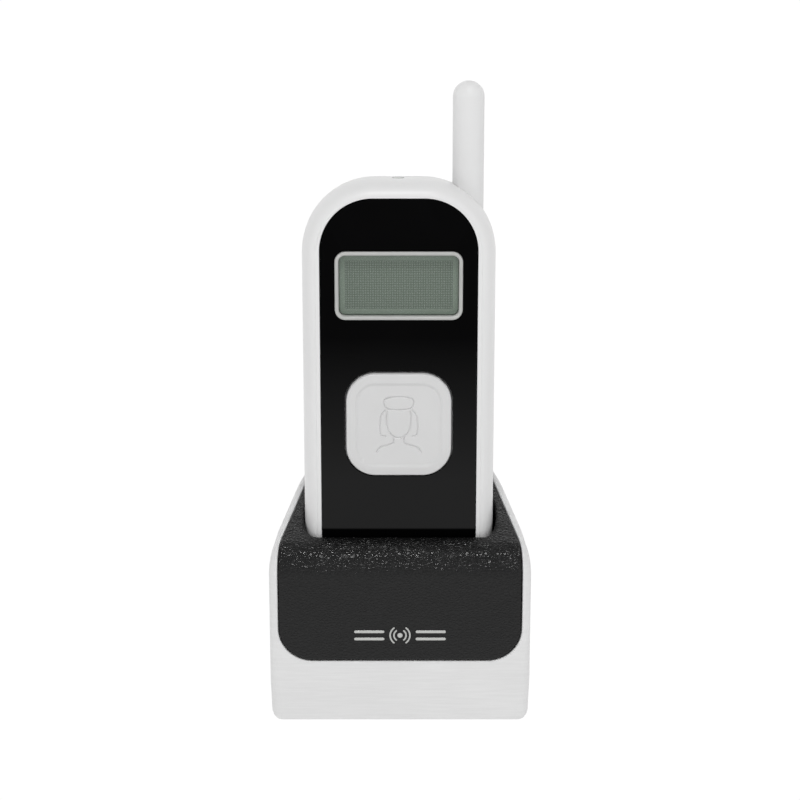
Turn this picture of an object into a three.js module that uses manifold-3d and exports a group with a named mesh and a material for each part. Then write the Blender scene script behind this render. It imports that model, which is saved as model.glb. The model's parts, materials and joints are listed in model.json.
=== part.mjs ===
// A handheld call pager standing in its charging cradle, as an assembly of separate parts.
// Millimetres, +Z up, the front faces -Y. The origin is on the table under the cradle's middle.
import * as THREE from "three";
import { mergeVertices } from "three/addons/utils/BufferGeometryUtils.js";
import Module from "manifold-3d";

const wasm = await Module();
wasm.setup();

// ---- Driving dimensions ----
const DEG = Math.PI / 180;
const FAR = 200; // reaches past everything, for cutters
const GAP = 0.1; // between a piece and the face it is seated on
const SEAM = 0.3; // round a piece that is set into another
const FIT = 0.2; // round a shank, a lens or a pin in its hole
const BITE = 0.3; // how far a post runs into the wall that carries it
const OPENING = 5; // depth that clears the front wall, for cutters

// Cradle: a wedge that narrows and rises towards its back.
const CRADLE = {
  halfWidth: 37.65,
  front: -26,
  back: 26,
  bottom: 0.4, // the feet carry it clear of the table
  taper: 12 * DEG, // each side wall turns inwards by this, in plan
  slope: 17 * DEG, // of the top face
  frontTop: 43.9, // height at which the front turns into the top
  frontRound: 9.7,
  rearRound: 6,
  frontCorner: 3, // vertical edges, in plan
  rearCorner: 8,
  bottomRound: 2.6,
  wall: 2.3,
  rimTop: 5, // the lower rim is thicker, to hold the base plate
};
const INSERT = { skin: 2.2, bottom: 18.8, halfWidth: 35, cornerRound: 9.8 };
const HOOK = { x: 18, halfWidth: 4, thick: 1.5, reach: 6, neckBottom: 0.8, neckTop: 5, overlap: 0.5, top: 1 };
const BADGE = { width: 26.5, height: 6.4, depth: 0.8, z: 26.6 };
const BASE = { top: 3.1, inset: 3.7, recess: 2.45, standoff: 4.2, standoffRadius: 2.2, screwDepth: 12 };
const STANDOFFS = [-8, 16].flatMap((y) => [-13.5, 13.5].map((x) => [x, y]));
const BASE_SCREWS = [-1, 1].flatMap((side) => [[side * 28.6, -18.4], [side * 20.5, 16.6]]);
const BOSS = { radius: 3.6, top: 14, web: 9 };
const FEET = [-1, 1].flatMap((side) => [[side * 21, -15], [side * 12.5, 16]]);
const FOOT = { radius: 4, height: 1.3 };
const CRADLE_PCB = { halfWidth: 16.4, front: -11, back: 19.5, bottom: 4.3, top: 5.9 };
const JACK = {
  z: 10.6, halfWidth: 4.6, bottom: 6, top: 15.2, from: 11, to: 23.4, bore: 3.1,
  snout: 3.9, pin: 0.95, floor: 4, pinIn: 0.5, pinShort: 1.5,
};

// Handset: a slim body with softly rounded rims front and back, placed by its front bottom edge.
const SEAT = [-0.35, -15.5, 24.8]; // it rests a little to one side in its pocket
const HANDSET = {
  halfWidth: 27.5,
  height: 131.2,
  rim: 9, // depth over which a rim curves in
  rimInset: 4,
  belt: 3, // straight band between the two rims
  topRound: 20.8,
  bottomRound: 8,
  wall: 1.8,
  frontWall: 3.3, // depth of the inner side of the front wall
  parting: 8, // depth of the joint between the two shells
};
const DEPTH = 2 * HANDSET.rim + HANDSET.belt;
const POCKET = { clearance: 0.6, floor: 24.4, wall: 1.8 };
const PANEL = {
  halfWidth: 22.2, bottom: 5.15, top: 126.75, thick: 1.4, recess: 1.5, topRound: 14.9,
  bottomRound: 3.2,
};
const DISPLAY = {
  z: 102.15, halfWidth: 18, halfHeight: 9.75, frame: 1.1, round: 3, proud: 0.45,
  opening: 0.9,
};
const WINDOW = { front: 0.6, back: 1.3 };
const LCD = { front: 1.9, step: 3.6, back: 6.6, halfWidth: 18.4, below: 1.6, above: 1.2 };
const BACKLIGHT = { halfWidth: 16.8, halfHeight: 9 };
const BUTTON = {
  z: 62, half: 15, round: 8.4, proud: 1.5, bevel: 2.2, clearance: 0.45, flange: 1.5,
  back: 4.5, wall: 1.8, skin: 0.6, plunger: 2,
};
const SWITCH = { half: 3, front: 5.1, stem: 1.7, well: 7.3, stemProud: 1.15, stemIn: 1 };
const PCB = { halfWidth: 15.9, bottom: 8, top: 111.5, front: 8.6, back: 10.2 };
const CASE_SCREWS = [-1, 1].flatMap((side) => [[side * 19.8, 11.5], [side * 19.8, 84.5]]);
const POST = { front: 2.8, rear: 3.5, seat: 16.8, threadStart: 1.2 };
const COVER = {
  halfWidth: 16.6, bottom: 18, top: 96, thick: 1.6, round: 4, screwZ: 91, gap: 0.15,
  ledge: 2.2, ledgeDepth: 1.7, boss: 2.4, bossDepth: 4,
};
const BATTERY = {
  halfWidth: 15, bottom: 22, top: 84, front: 12.2, back: 18.6, corner: 2,
  clearance: 0.5, edge: 1, wellFrom: 10,
};
const SOUNDER = { z: 103, radius: 7, thick: 3.4, hole: 0.8, ring: 3.2, holes: 6 };
const MOTOR = { x: -8, z: 15, radius: 4, thick: 2.8 };
const SHIELD = { halfWidth: 12, bottom: 85.5, top: 94, thick: 2.4, skin: 0.4 };
const ANTENNA = {
  x: 19.65, y: 13.6, radius: 4.45, bottom: 116, tip: 158.1, bore: 3, boss: 6.2,
  bossBottom: 112, wirePath: 1.5,
};
const COIL = { meanRadius: 2, wire: 0.4, bottom: 122, top: 151, turns: 7 };
const FERRULE = { radius: 1.2, bottom: 110.5, top: 121 };
const CLIP = {
  from: 12.5, past: 1.3, behind: 1.2, bottom: 109.6, top: 110.2, foot: 15.4,
  footBottom: 104, thick: 0.6,
};
const LIGHT = { x: -0.15, y: 10.4, radius: 1.7, bottom: 125, top: 131.25 };
const CONTACT = {
  x: 8, y: 11.5, face: 2, padFace: 1.2, flange: 3, flangeBottom: 2.1, flangeTop: 2.9,
  stem: 0.8, stemTop: 11,
};
const PIN = { radius: 0.9, collar: 1.45, collarHeight: 1.2, collarDrop: 0.25, bottom: 13, tipBevel: 0.5 };
const SPRING = { meanRadius: 1.3, wire: 0.18, turns: 7 };
const BLOCK = { halfWidth: 13, halfDepth: 3.8, bottom: 6, bore: 1.75, boreBottom: 8 };

// ---- Materials ----
const material = (color, roughness, metalness = 0, more = {}) =>
  new THREE.MeshStandardMaterial({ color, roughness, metalness, ...more });
const WHITE = material(0xdedede, 0.45);
const BUTTON_GREY = material(0xd0d0d0, 0.4);
const BLACK_GRAIN = material(0x1c1c1c, 0.55);
const BLACK_GLOSS = material(0x060606, 0.12);
const SILVER = material(0xb9bab9, 0.35, 0.4);
const CLEAR = material(0xf2f6f4, 0.05, 0, { transparent: true, opacity: 0.25 });
const LCD_GREY = material(0x6c766c, 0.3);
const RUBBER = material(0x1b1b1b, 0.85);
const BOARD = material(0x1f5a36, 0.5);
const DARK_PLASTIC = material(0x242424, 0.5);
const PALE_PLASTIC = material(0xe8e6dc, 0.5);
const STEEL = material(0xa6a9ab, 0.35, 1);
const BRASS = material(0xc9a24a, 0.3, 1);
const FOIL = material(0x55708f, 0.45);

// ---- Solids and booleans ----

// A closed geometry as a solid that can be joined and cut.
function solid(geometry) {
  const bare = new THREE.BufferGeometry();
  const flat = geometry.index ? geometry.toNonIndexed() : geometry;
  bare.setAttribute("position", flat.getAttribute("position"));
  const merged = mergeVertices(bare, 1e-4);
  const triVerts = new Uint32Array(merged.index.array);
  const vertProperties = merged.attributes.position.array;
  return new wasm.Manifold(new wasm.Mesh({ numProp: 3, vertProperties, triVerts }));
}

function geometryOf(body) {
  const { numProp, numVert, vertProperties, triVerts } = body.getMesh();
  const positions = new Float32Array(numVert * 3);
  for (let i = 0; i < numVert; i++) {
    positions.set(vertProperties.subarray(i * numProp, i * numProp + 3), i * 3);
  }
  const geometry = new THREE.BufferGeometry();
  geometry.setAttribute("position", new THREE.BufferAttribute(positions, 3));
  geometry.setIndex(new THREE.BufferAttribute(triVerts, 1));
  geometry.computeVertexNormals();
  return geometry;
}

const join = (...bodies) => bodies.reduce((whole, body) => whole.add(body));
const cut = (body, ...cutters) => cutters.reduce((left, cutter) => left.subtract(cutter), body);

function box([x0, x1], [y0, y1], [z0, z1]) {
  const geometry = new THREE.BoxGeometry(x1 - x0, y1 - y0, z1 - z0);
  return solid(geometry.translate((x0 + x1) / 2, (y0 + y1) / 2, (z0 + z1) / 2));
}

// A round bar along Y or Z. (a, b) is its place on the other two axes, in X, Y, Z order.
function bar(axis, [a, b], radius, from, to, sides = 16) {
  const geometry = new THREE.CylinderGeometry(radius, radius, to - from, sides);
  const middle = (from + to) / 2;
  if (axis === "y") geometry.translate(a, middle, b);
  else geometry.rotateX(Math.PI / 2).translate(a, b, middle);
  return solid(geometry);
}

// Turns a profile of [radius, height] pairs, from the bottom up, about a vertical axis at (x, y).
function turned(profile, [x, y], sides = 16) {
  const points = profile.map(([radius, height]) => new THREE.Vector2(radius, height));
  return solid(new THREE.LatheGeometry(points, sides).rotateX(Math.PI / 2).translate(x, y, 0));
}

// A convex or concave polygon whose corners [x, y, radius] are rounded by arcs.
function roundedPolygon(corners) {
  const shape = new THREE.Shape();
  corners.forEach(([x, y, radius], i) => {
    const corner = new THREE.Vector2(x, y);
    const neighbours = [corners.at(i - 1), corners[(i + 1) % corners.length]];
    const [before, after] = neighbours.map(([px, py]) => new THREE.Vector2(px, py).sub(corner).normalize());
    const halfAngle = Math.acos(before.dot(after)) / 2;
    const reach = radius / Math.tan(halfAngle);
    const start = corner.clone().addScaledVector(before, reach);
    const end = corner.clone().addScaledVector(after, reach);
    const toCentre = before.clone().add(after).normalize();
    const centre = corner.clone().addScaledVector(toCentre, radius / Math.sin(halfAngle));
    if (i === 0) shape.moveTo(start.x, start.y);
    else shape.lineTo(start.x, start.y);
    if (radius === 0) return;
    const [from, to] = [start, end].map((point) => point.clone().sub(centre).angle());
    shape.absarc(centre.x, centre.y, radius, from, to, before.cross(after) > 0);
  });
  shape.closePath();
  return shape;
}

const roundedRectangle = (halfWidth, bottom, top, bottomRound, topRound = bottomRound) =>
  roundedPolygon([
    [-halfWidth, bottom, bottomRound],
    [halfWidth, bottom, bottomRound],
    [halfWidth, top, topRound],
    [-halfWidth, top, topRound],
  ]);

// Extrusions of a flat shape. Along Y the shape lies in X and Z; along X, in Y and Z.
const extrude = (shape, length, options = {}) =>
  new THREE.ExtrudeGeometry(shape, { depth: length, bevelEnabled: false, curveSegments: 3, ...options });
const alongZ = (shape, z0, z1, options) => solid(extrude(shape, z1 - z0, options).translate(0, 0, z0));
const alongY = (shape, y0, y1, options) =>
  solid(extrude(shape, y1 - y0, options).rotateX(Math.PI / 2).translate(0, y1, 0));
const TURN_TO_X = new THREE.Matrix4().makeBasis(
  new THREE.Vector3(0, 1, 0),
  new THREE.Vector3(0, 0, 1),
  new THREE.Vector3(1, 0, 0),
);
const alongX = (shape, x0, x1) =>
  solid(extrude(shape, x1 - x0).applyMatrix4(TURN_TO_X).translate(x0, 0, 0));

// Adds a length to each end of an extrusion, over which it draws in by inset along an ellipse.
const softEnds = (length, inset, segments = 3) => ({
  bevelEnabled: true,
  bevelThickness: length,
  bevelSize: inset,
  bevelOffset: -inset,
  bevelSegments: segments,
});

// A wire of round section wound as a helix about a vertical axis at (x, y).
function coil([x, y], meanRadius, wireRadius, bottom, top, turns) {
  class Helix extends THREE.Curve {
    getPoint(t, target = new THREE.Vector3()) {
      const angle = 2 * Math.PI * turns * t;
      const [across, deep] = [meanRadius * Math.cos(angle), meanRadius * Math.sin(angle)];
      return target.set(x + across, y + deep, bottom + (top - bottom) * t);
    }
  }
  const section = new THREE.Shape().absarc(0, 0, wireRadius, 0, 2 * Math.PI);
  return solid(extrude(section, 1, { steps: turns * 8, extrudePath: new Helix(), curveSegments: 2 }));
}

// A pan-head screw with a cross recess, along Y or Z. The head's outer face is at `at`,
// and the shank runs from it in `direction`, which is +1 or -1.
function screw(axis, [a, b], at, direction, { head, tall, shank, length }) {
  const span = (near, far) => [at + direction * near, at + direction * far].sort((p, q) => p - q);
  const body = join(
    bar(axis, [a, b], head, ...span(0, tall), 14),
    bar(axis, [a, b], shank, ...span(tall / 2, length), 8),
  );
  const arm = head * 0.58;
  const halfSlot = head * 0.15;
  const slots = [[arm, halfSlot], [halfSlot, arm]].map(([p, q]) => {
    const [across, along] = [[a - p, a + p], [b - q, b + q]];
    const deep = span(-1, tall / 2);
    return axis === "z" ? box(across, along, deep) : box(across, deep, along);
  });
  return cut(body, ...slots);
}
const CASE_SCREW = { head: 2.2, tall: 1.4, shank: 1.2, length: 12 };
const BASE_SCREW = { head: 2.3, tall: 1.4, shank: 1.2, length: 10 };
const COVER_SCREW = { head: 1.7, tall: 0.9, shank: 0.85, length: 4.5 };

// ---- Cradle forms ----

// Outline in plan, drawn in by inset. The side walls converge towards the back.
function cradlePlan(inset = 0) {
  const { halfWidth, front, back, taper, frontCorner, rearCorner } = CRADLE;
  // Where the side wall meets the rounded front corner, which is widest a little in front of that.
  const touchX = halfWidth - frontCorner + frontCorner * Math.cos(taper);
  const touchY = front + frontCorner + frontCorner * Math.sin(taper);
  const sideAt = (y) => touchX - (y - touchY) * Math.tan(taper) - inset / Math.cos(taper);
  const [y0, y1] = [front + inset, back - inset];
  const [r0, r1] = [frontCorner, rearCorner].map((radius) => Math.max(radius - inset, 0.6));
  return roundedPolygon([
    [-sideAt(y0), y0, r0],
    [sideAt(y0), y0, r0],
    [sideAt(y1), y1, r1],
    [-sideAt(y1), y1, r1],
  ]);
}

// Side view in Y and Z, drawn in by inset: upright front, rounded into the sloping top.
function cradleSide(inset = 0) {
  const { front, back, slope, frontRound, frontTop, rearRound } = CRADLE;
  const normal = Math.PI / 2 + slope;
  const frontCentre = front + frontRound;
  const rearCentre = back - rearRound;
  const rise = (rearCentre - frontCentre) * Math.tan(slope) + (frontRound - rearRound) / Math.cos(slope);
  const shape = new THREE.Shape();
  shape.moveTo(front + inset, -FAR / 2);
  shape.lineTo(front + inset, frontTop);
  shape.absarc(frontCentre, frontTop, frontRound - inset, Math.PI, normal, true);
  shape.absarc(rearCentre, frontTop + rise, rearRound - inset, normal, 0, true);
  shape.lineTo(back - inset, -FAR / 2);
  shape.closePath();
  return shape;
}
const underTop = (inset) => alongX(cradleSide(inset), -FAR / 2, FAR / 2);
const cradleBlock = (inset, bottom, options) =>
  alongZ(cradlePlan(inset), bottom, FAR / 2, options).intersect(underTop(inset));

// The part of the front and top that the dark insert fills, grown by margin.
function insertSpace(margin) {
  const { halfWidth, bottom, cornerRound } = INSERT;
  const half = halfWidth + margin;
  const frontView = roundedRectangle(half, bottom - margin, FAR, cornerRound + margin, 0);
  const frontSkin = box([-half, half], [CRADLE.front - 1, CRADLE.front + 5], [0, FAR]);
  return alongY(frontView, CRADLE.front - 1, CRADLE.back + 1).intersect(
    join(alongZ(cradlePlan(CRADLE.wall - margin), 0, FAR), frontSkin),
  );
}

// The handset's cross-section seen from above, grown by margin, in its place in the cradle.
function handsetSection(margin) {
  const { halfWidth, rim, rimInset, belt } = HANDSET;
  const flat = halfWidth - rimInset;
  const front = SEAT[1] + rim;
  const rear = front + belt;
  const [rx, ry] = [rimInset + margin, rim + margin];
  const shape = new THREE.Shape();
  shape.moveTo(-flat, front - ry);
  shape.lineTo(flat, front - ry);
  shape.absellipse(flat, front, rx, ry, -Math.PI / 2, 0, false);
  shape.absellipse(flat, rear, rx, ry, 0, Math.PI / 2, false);
  shape.absellipse(-flat, rear, rx, ry, Math.PI / 2, Math.PI, false);
  shape.absellipse(-flat, front, rx, ry, Math.PI, 1.5 * Math.PI, false);
  shape.closePath();
  return shape;
}

// Contacts under the pocket, in plan.
const CONTACT_PLACES = { left: [-CONTACT.x, SEAT[1] + CONTACT.y], right: [CONTACT.x, SEAT[1] + CONTACT.y] };
const COLLAR_TOP = POCKET.floor - POCKET.wall - PIN.collarDrop;
const COLLAR_BOTTOM = COLLAR_TOP - PIN.collarHeight;

// ---- Cradle pieces ----

function cradleShell() {
  const { wall, bottom, bottomRound, rimTop, back } = CRADLE;
  const outer = cradleBlock(0, bottom + bottomRound, softEnds(bottomRound, bottomRound));
  const cavity = cradleBlock(wall, rimTop);
  const mouth = alongZ(cradlePlan(BASE.inset - SEAM), -1, rimTop + 1);
  const bossSpan = [BASE.top + 2 * GAP, BOSS.top];
  const bosses = BASE_SCREWS.map(([x, y]) => {
    const outwards = [x, x + Math.sign(x) * BOSS.web].sort((p, q) => p - q);
    const web = box(outwards, [y - BOSS.radius, y + BOSS.radius], bossSpan);
    return join(bar("z", [x, y], BOSS.radius, ...bossSpan), web).intersect(cradleBlock(1, 0));
  });
  const shank = BASE_SCREW.shank + SEAM;
  const screwHoles = BASE_SCREWS.map((place) => bar("z", place, shank, 0, BASE.screwDepth, 12));
  const jackHole = bar("y", [0, JACK.z], JACK.snout + SEAM, back - 2 * wall, FAR, 28);
  const hollow = cut(outer, cavity, mouth, insertSpace(SEAM / 2));
  return cut(join(hollow, ...bosses), ...screwHoles, jackHole);
}

// The dark insert: a skin over the front and top, with the pocket's well hanging from it.
function cradleInsert() {
  const face = insertSpace(-SEAM / 2).intersect(cut(underTop(0), underTop(INSERT.skin)));
  const wellFloor = POCKET.floor - POCKET.wall;
  const well = alongZ(handsetSection(POCKET.clearance + POCKET.wall), wellFloor, FAR / 2);
  const pocket = alongZ(handsetSection(POCKET.clearance), POCKET.floor, FAR);
  const pinHoles = Object.values(CONTACT_PLACES).map((place) => bar("z", place, PIN.radius + FIT, 0, FAR, 14));
  // Hooks behind the cradle's front wall hold the insert's lower edge.
  const behindWall = CRADLE.front + CRADLE.wall + SEAM;
  const hooks = [-HOOK.x, HOOK.x].flatMap((x) => {
    const across = [x - HOOK.halfWidth, x + HOOK.halfWidth];
    const rearFace = behindWall + HOOK.thick;
    const neckDepth = [CRADLE.front + INSERT.skin - HOOK.overlap, rearFace];
    const neck = box(across, neckDepth, [INSERT.bottom + HOOK.neckBottom, INSERT.bottom + HOOK.neckTop]);
    const tongue = box(across, [behindWall, rearFace], [INSERT.bottom - HOOK.reach, INSERT.bottom + HOOK.top]);
    return [neck, tongue];
  });
  const whole = join(face, well.intersect(underTop(FIT)), ...hooks);
  return cut(whole, pocket, badgeForm(GAP), ...pinHoles);
}

// A slim inlay on the insert's front, grown by margin.
function badgeForm(margin) {
  const { width, height, depth, z } = BADGE;
  const half = height / 2 + margin;
  const outline = roundedRectangle(width / 2 + margin, z - half, z + half, half * 0.98);
  return alongY(outline, CRADLE.front - 10 * margin, CRADLE.front + depth + margin);
}

function basePlate() {
  const plate = alongZ(cradlePlan(BASE.inset), CRADLE.bottom, BASE.top);
  const { standoff, standoffRadius } = BASE;
  const standoffs = STANDOFFS.map((place) => bar("z", place, standoffRadius, BASE.top - BITE, standoff, 12));
  const headHoles = BASE_SCREWS.map((place) => bar("z", place, BASE_SCREW.head + SEAM, 0, BASE.recess));
  const shankHoles = BASE_SCREWS.map((place) => bar("z", place, BASE_SCREW.shank + SEAM, 0, FAR, 12));
  const footHoles = FEET.map((place) => bar("z", place, FOOT.radius + FIT, 0, FOOT.height + GAP, 20));
  return cut(join(plate, ...standoffs), ...headHoles, ...shankHoles, ...footHoles);
}

function powerJack() {
  const { z, halfWidth, bottom, top, from, to, bore, snout, pin, floor } = JACK;
  const block = box([-halfWidth, halfWidth], [from, to], [bottom, top]);
  const nose = bar("y", [0, z], snout, to - 1, CRADLE.back - GAP, 24);
  const socket = bar("y", [0, z], bore, from + floor, FAR, 20);
  return cut(join(block, nose), socket, bar("y", [0, z], pin + FIT, -FAR, FAR, 14));
}

// Holds the two sprung contacts upright under the pocket.
function contactBlock() {
  const { halfWidth, halfDepth, bottom, bore, boreBottom } = BLOCK;
  const y = SEAT[1] + CONTACT.y;
  const top = POCKET.floor - POCKET.wall - 2 * GAP;
  const block = box([-halfWidth, halfWidth], [y - halfDepth, y + halfDepth], [bottom, top]);
  const bores = Object.values(CONTACT_PLACES).map((place) => bar("z", place, bore, boreBottom, FAR, 16));
  return cut(block, ...bores);
}

// A pin whose tip reaches up to the handset's pad, and whose collar stops under the pocket floor.
function contactPin(place) {
  const { radius, collar, bottom, tipBevel } = PIN;
  const tip = SEAT[2] + CONTACT.padFace - GAP;
  const profile = [
    [0, bottom],
    [radius, bottom],
    [radius, COLLAR_BOTTOM],
    [collar, COLLAR_BOTTOM],
    [collar, COLLAR_TOP],
    [radius, COLLAR_TOP],
    [radius, tip - tipBevel],
    [radius - tipBevel * 0.6, tip],
    [0, tip],
  ];
  return turned(profile, place, 14);
}

// ---- Handset pieces: X across, Y depth from the front face, Z up from the bottom ----

// The body's pillow form, drawn in by inset.
function pillow(inset = 0) {
  const { halfWidth, height, rim, rimInset, belt, topRound, bottomRound } = HANDSET;
  const outline = roundedRectangle(
    halfWidth - inset,
    inset,
    height - inset,
    bottomRound - inset,
    topRound - inset,
  );
  return alongY(outline, rim, rim + belt, softEnds(rim - inset, rimInset - inset, 4));
}
const slab = (y0, y1) => box([-FAR, FAR], [y0, y1], [-FAR, FAR]);

const panelOutline = (margin) =>
  roundedRectangle(
    PANEL.halfWidth + margin,
    PANEL.bottom - margin,
    PANEL.top + margin,
    PANEL.bottomRound + margin,
    PANEL.topRound + margin,
  );
const displayOutline = (margin) =>
  roundedRectangle(
    DISPLAY.halfWidth + margin,
    DISPLAY.z - DISPLAY.halfHeight - margin,
    DISPLAY.z + DISPLAY.halfHeight + margin,
    DISPLAY.round + margin,
  );
const buttonOutline = (margin) =>
  roundedRectangle(
    BUTTON.half + margin,
    BUTTON.z - BUTTON.half - margin,
    BUTTON.z + BUTTON.half + margin,
    BUTTON.round + margin,
  );
const coverOutline = (margin) =>
  roundedRectangle(COVER.halfWidth + margin, COVER.bottom - margin, COVER.top + margin, COVER.round);
const buttonHole = () => alongY(buttonOutline(BUTTON.clearance), -FAR, OPENING);

function frontShell() {
  const { wall, frontWall, parting } = HANDSET;
  const shell = pillow().intersect(slab(-1, parting - GAP / 2));
  const hollow = pillow(wall).intersect(slab(frontWall, FAR));
  const panelRecess = alongY(panelOutline(GAP), -1, PANEL.recess);
  const displayHole = alongY(displayOutline(-DISPLAY.opening), -1, OPENING);
  const posts = CASE_SCREWS.map((place) => bar("y", place, POST.front, frontWall - BITE, parting - GAP / 2));
  const threadFrom = frontWall + POST.threadStart;
  const threads = CASE_SCREWS.map((place) => bar("y", place, CASE_SCREW.shank + FIT, threadFrom, FAR, 12));
  const open = cut(shell, hollow, panelRecess, displayHole, buttonHole());
  return cut(join(open, ...posts), ...threads);
}

function rearShell() {
  const { wall, parting } = HANDSET;
  const rearHalf = slab(parting + GAP / 2, FAR);
  const shell = cut(pillow().intersect(rearHalf), pillow(wall));
  const inner = DEPTH - wall;
  const posts = CASE_SCREWS.map((place) => bar("y", place, POST.rear, parting + GAP / 2, inner + BITE));
  const ledge = alongY(coverOutline(COVER.ledge), inner - COVER.ledgeDepth, inner + BITE);
  const coverBoss = bar("y", [0, COVER.screwZ], COVER.boss, inner - COVER.bossDepth, inner);
  const place = [ANTENNA.x, ANTENNA.y];
  const bossBar = bar("z", place, ANTENNA.boss, ANTENNA.bossBottom, FAR);
  const antennaBoss = bossBar.intersect(pillow()).intersect(rearHalf);
  const whole = join(shell, ...posts, ledge, coverBoss, antennaBoss);
  const { ring, holes, hole } = SOUNDER;
  const around = Array.from({ length: holes }, (_, i) => (2 * Math.PI * i) / holes);
  const soundHoles = [
    [0, SOUNDER.z],
    ...around.map((angle) => [ring * Math.cos(angle), SOUNDER.z + ring * Math.sin(angle)]),
  ];
  const { halfWidth, bottom, top, corner, clearance, wellFrom } = BATTERY;
  const batteryWell = roundedRectangle(halfWidth + clearance, bottom - clearance, top + clearance, corner);
  return cut(
    whole,
    alongY(coverOutline(COVER.gap), DEPTH - COVER.thick - GAP, FAR),
    alongY(batteryWell, wellFrom, FAR),
    bar("y", [0, COVER.screwZ], COVER_SCREW.shank + FIT, 0, FAR, 12),
    bar("z", place, ANTENNA.radius + SEAM, ANTENNA.bottom - SEAM, FAR, 28),
    bar("z", place, ANTENNA.wirePath, 0, FAR, 14),
    bar("z", [LIGHT.x, LIGHT.y], LIGHT.radius + FIT, LIGHT.bottom - 1, FAR, 16),
    ...CASE_SCREWS.map((at) => bar("y", at, CASE_SCREW.head + SEAM, POST.seat, FAR)),
    ...CASE_SCREWS.map((at) => bar("y", at, CASE_SCREW.shank + SEAM, 0, FAR, 12)),
    ...soundHoles.map((at) => bar("y", at, hole, inner - wall, FAR, 8)),
    ...[-CONTACT.x, CONTACT.x].map((x) =>
      bar("z", [x, CONTACT.y], CONTACT.face + COVER.gap, -FAR, CONTACT.flangeTop + 1, 20),
    ),
  );
}

const frontPanel = () =>
  cut(alongY(panelOutline(0), 0, PANEL.thick), alongY(displayOutline(GAP), -1, OPENING), buttonHole());

const displayBezel = () =>
  cut(
    alongY(displayOutline(0), -DISPLAY.proud, PANEL.thick),
    alongY(displayOutline(-DISPLAY.frame), -1, OPENING),
  );
const displayWindow = () => alongY(displayOutline(-DISPLAY.frame - GAP), WINDOW.front, WINDOW.back);

// The display stands through the front shell's opening, on a wider back.
function lcdModule() {
  const { front, step, back, halfWidth, below, above } = LCD;
  const glass = alongY(displayOutline(-DISPLAY.frame - GAP), front, step + GAP);
  const { z, halfHeight } = DISPLAY;
  const upright = [z - halfHeight - below, z + halfHeight + above];
  return join(glass, box([-halfWidth, halfWidth], [step, back], upright));
}
function lcdBacklight() {
  const { halfWidth, halfHeight } = BACKLIGHT;
  const upright = [DISPLAY.z - halfHeight, DISPLAY.z + halfHeight];
  return box([-halfWidth, halfWidth], [LCD.back + GAP, PCB.front - GAP], upright);
}

const mainPcb = () => box([-PCB.halfWidth, PCB.halfWidth], [PCB.front, PCB.back], [PCB.bottom, PCB.top]);

function rfShield() {
  const { halfWidth, bottom, top, thick, skin } = SHIELD;
  const y0 = PCB.back + GAP;
  const can = box([-halfWidth, halfWidth], [y0, y0 + thick], [bottom, top]);
  const across = [skin - halfWidth, halfWidth - skin];
  const inside = box(across, [y0 - 1, y0 + thick - skin], [bottom + skin, top - skin]);
  return cut(can, inside);
}

// A hollow cap with a rounded edge, a flange that stays behind the front wall, and a plunger.
function callButton() {
  const { z, proud, bevel, flange, back, wall, skin, plunger } = BUTTON;
  const edge = proud - BITE;
  const pad = alongY(buttonOutline(0), edge - proud, FAR / 2, softEnds(edge, bevel, 3));
  const cap = pad.intersect(slab(-FAR, back));
  const rim = alongY(buttonOutline(flange), back - 1, back);
  const hollow = alongY(buttonOutline(-wall), skin, FAR / 2);
  const stud = bar("y", [0, z], plunger, 0, SWITCH.front - SWITCH.stemProud - GAP);
  return join(cut(join(cap, rim), hollow), stud);
}

function switchBody() {
  const { half, front, stem, well } = SWITCH;
  const block = box([-half, half], [front, PCB.front - GAP], [BUTTON.z - half, BUTTON.z + half]);
  return cut(block, bar("y", [0, BUTTON.z], stem + SEAM, front - 1, well));
}
const switchStem = () => 
  bar("y", [0, BUTTON.z], SWITCH.stem, SWITCH.front - SWITCH.stemProud, SWITCH.front + SWITCH.stemIn);

function batteryPack() {
  const { halfWidth, bottom, top, front, back, corner, edge } = BATTERY;
  const outline = roundedRectangle(halfWidth, bottom, top, corner);
  return alongY(outline, front + edge, back - edge, softEnds(edge, edge, 2));
}

function batteryCover() {
  const cover = alongY(coverOutline(0), DEPTH - COVER.thick, DEPTH);
  const headHole = bar("y", [0, COVER.screwZ], COVER_SCREW.head + SEAM, DEPTH - COVER_SCREW.tall - GAP, FAR);
  return cut(cover, headHole, bar("y", [0, COVER.screwZ], COVER_SCREW.shank + SEAM, 0, FAR, 12));
}

const sounder = () => bar("y", [0, SOUNDER.z], SOUNDER.radius, PCB.back + GAP, PCB.back + SOUNDER.thick, 28);
const vibrationMotor = () =>
  bar("y", [MOTOR.x, MOTOR.z], MOTOR.radius, PCB.back + GAP, PCB.back + MOTOR.thick, 24);

// A hollow cover with a domed tip, open below.
function antennaSleeve() {
  const { x, y, radius, bottom, tip, bore } = ANTENNA;
  const dome = [15, 30, 45, 60, 75].map((degrees) => [
    radius * Math.cos(degrees * DEG),
    tip - radius + radius * Math.sin(degrees * DEG),
  ]);
  const profile = [
    [0, tip - radius],
    [bore, tip - radius - 1],
    [bore, bottom],
    [radius, bottom],
    [radius, tip - radius],
    ...dome,
    [0, tip],
  ];
  return turned(profile, [x, y], 24);
}
const antennaCoil = () =>
  coil([ANTENNA.x, ANTENNA.y], COIL.meanRadius, COIL.wire, COIL.bottom, COIL.top, COIL.turns);
const antennaFerrule = () => bar("z", [ANTENNA.x, ANTENNA.y], FERRULE.radius, FERRULE.bottom, FERRULE.top, 16);

// A spring strip from the circuit board to the foot of the antenna.
function antennaClip() {
  const { from, past, behind, bottom, top, foot, footBottom, thick } = CLIP;
  const y0 = PCB.back + GAP;
  const arm = box([from, ANTENNA.x + past], [y0, ANTENNA.y + behind], [bottom, top]);
  return join(arm, box([from, foot], [y0, y0 + thick], [footBottom, top]));
}

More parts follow.
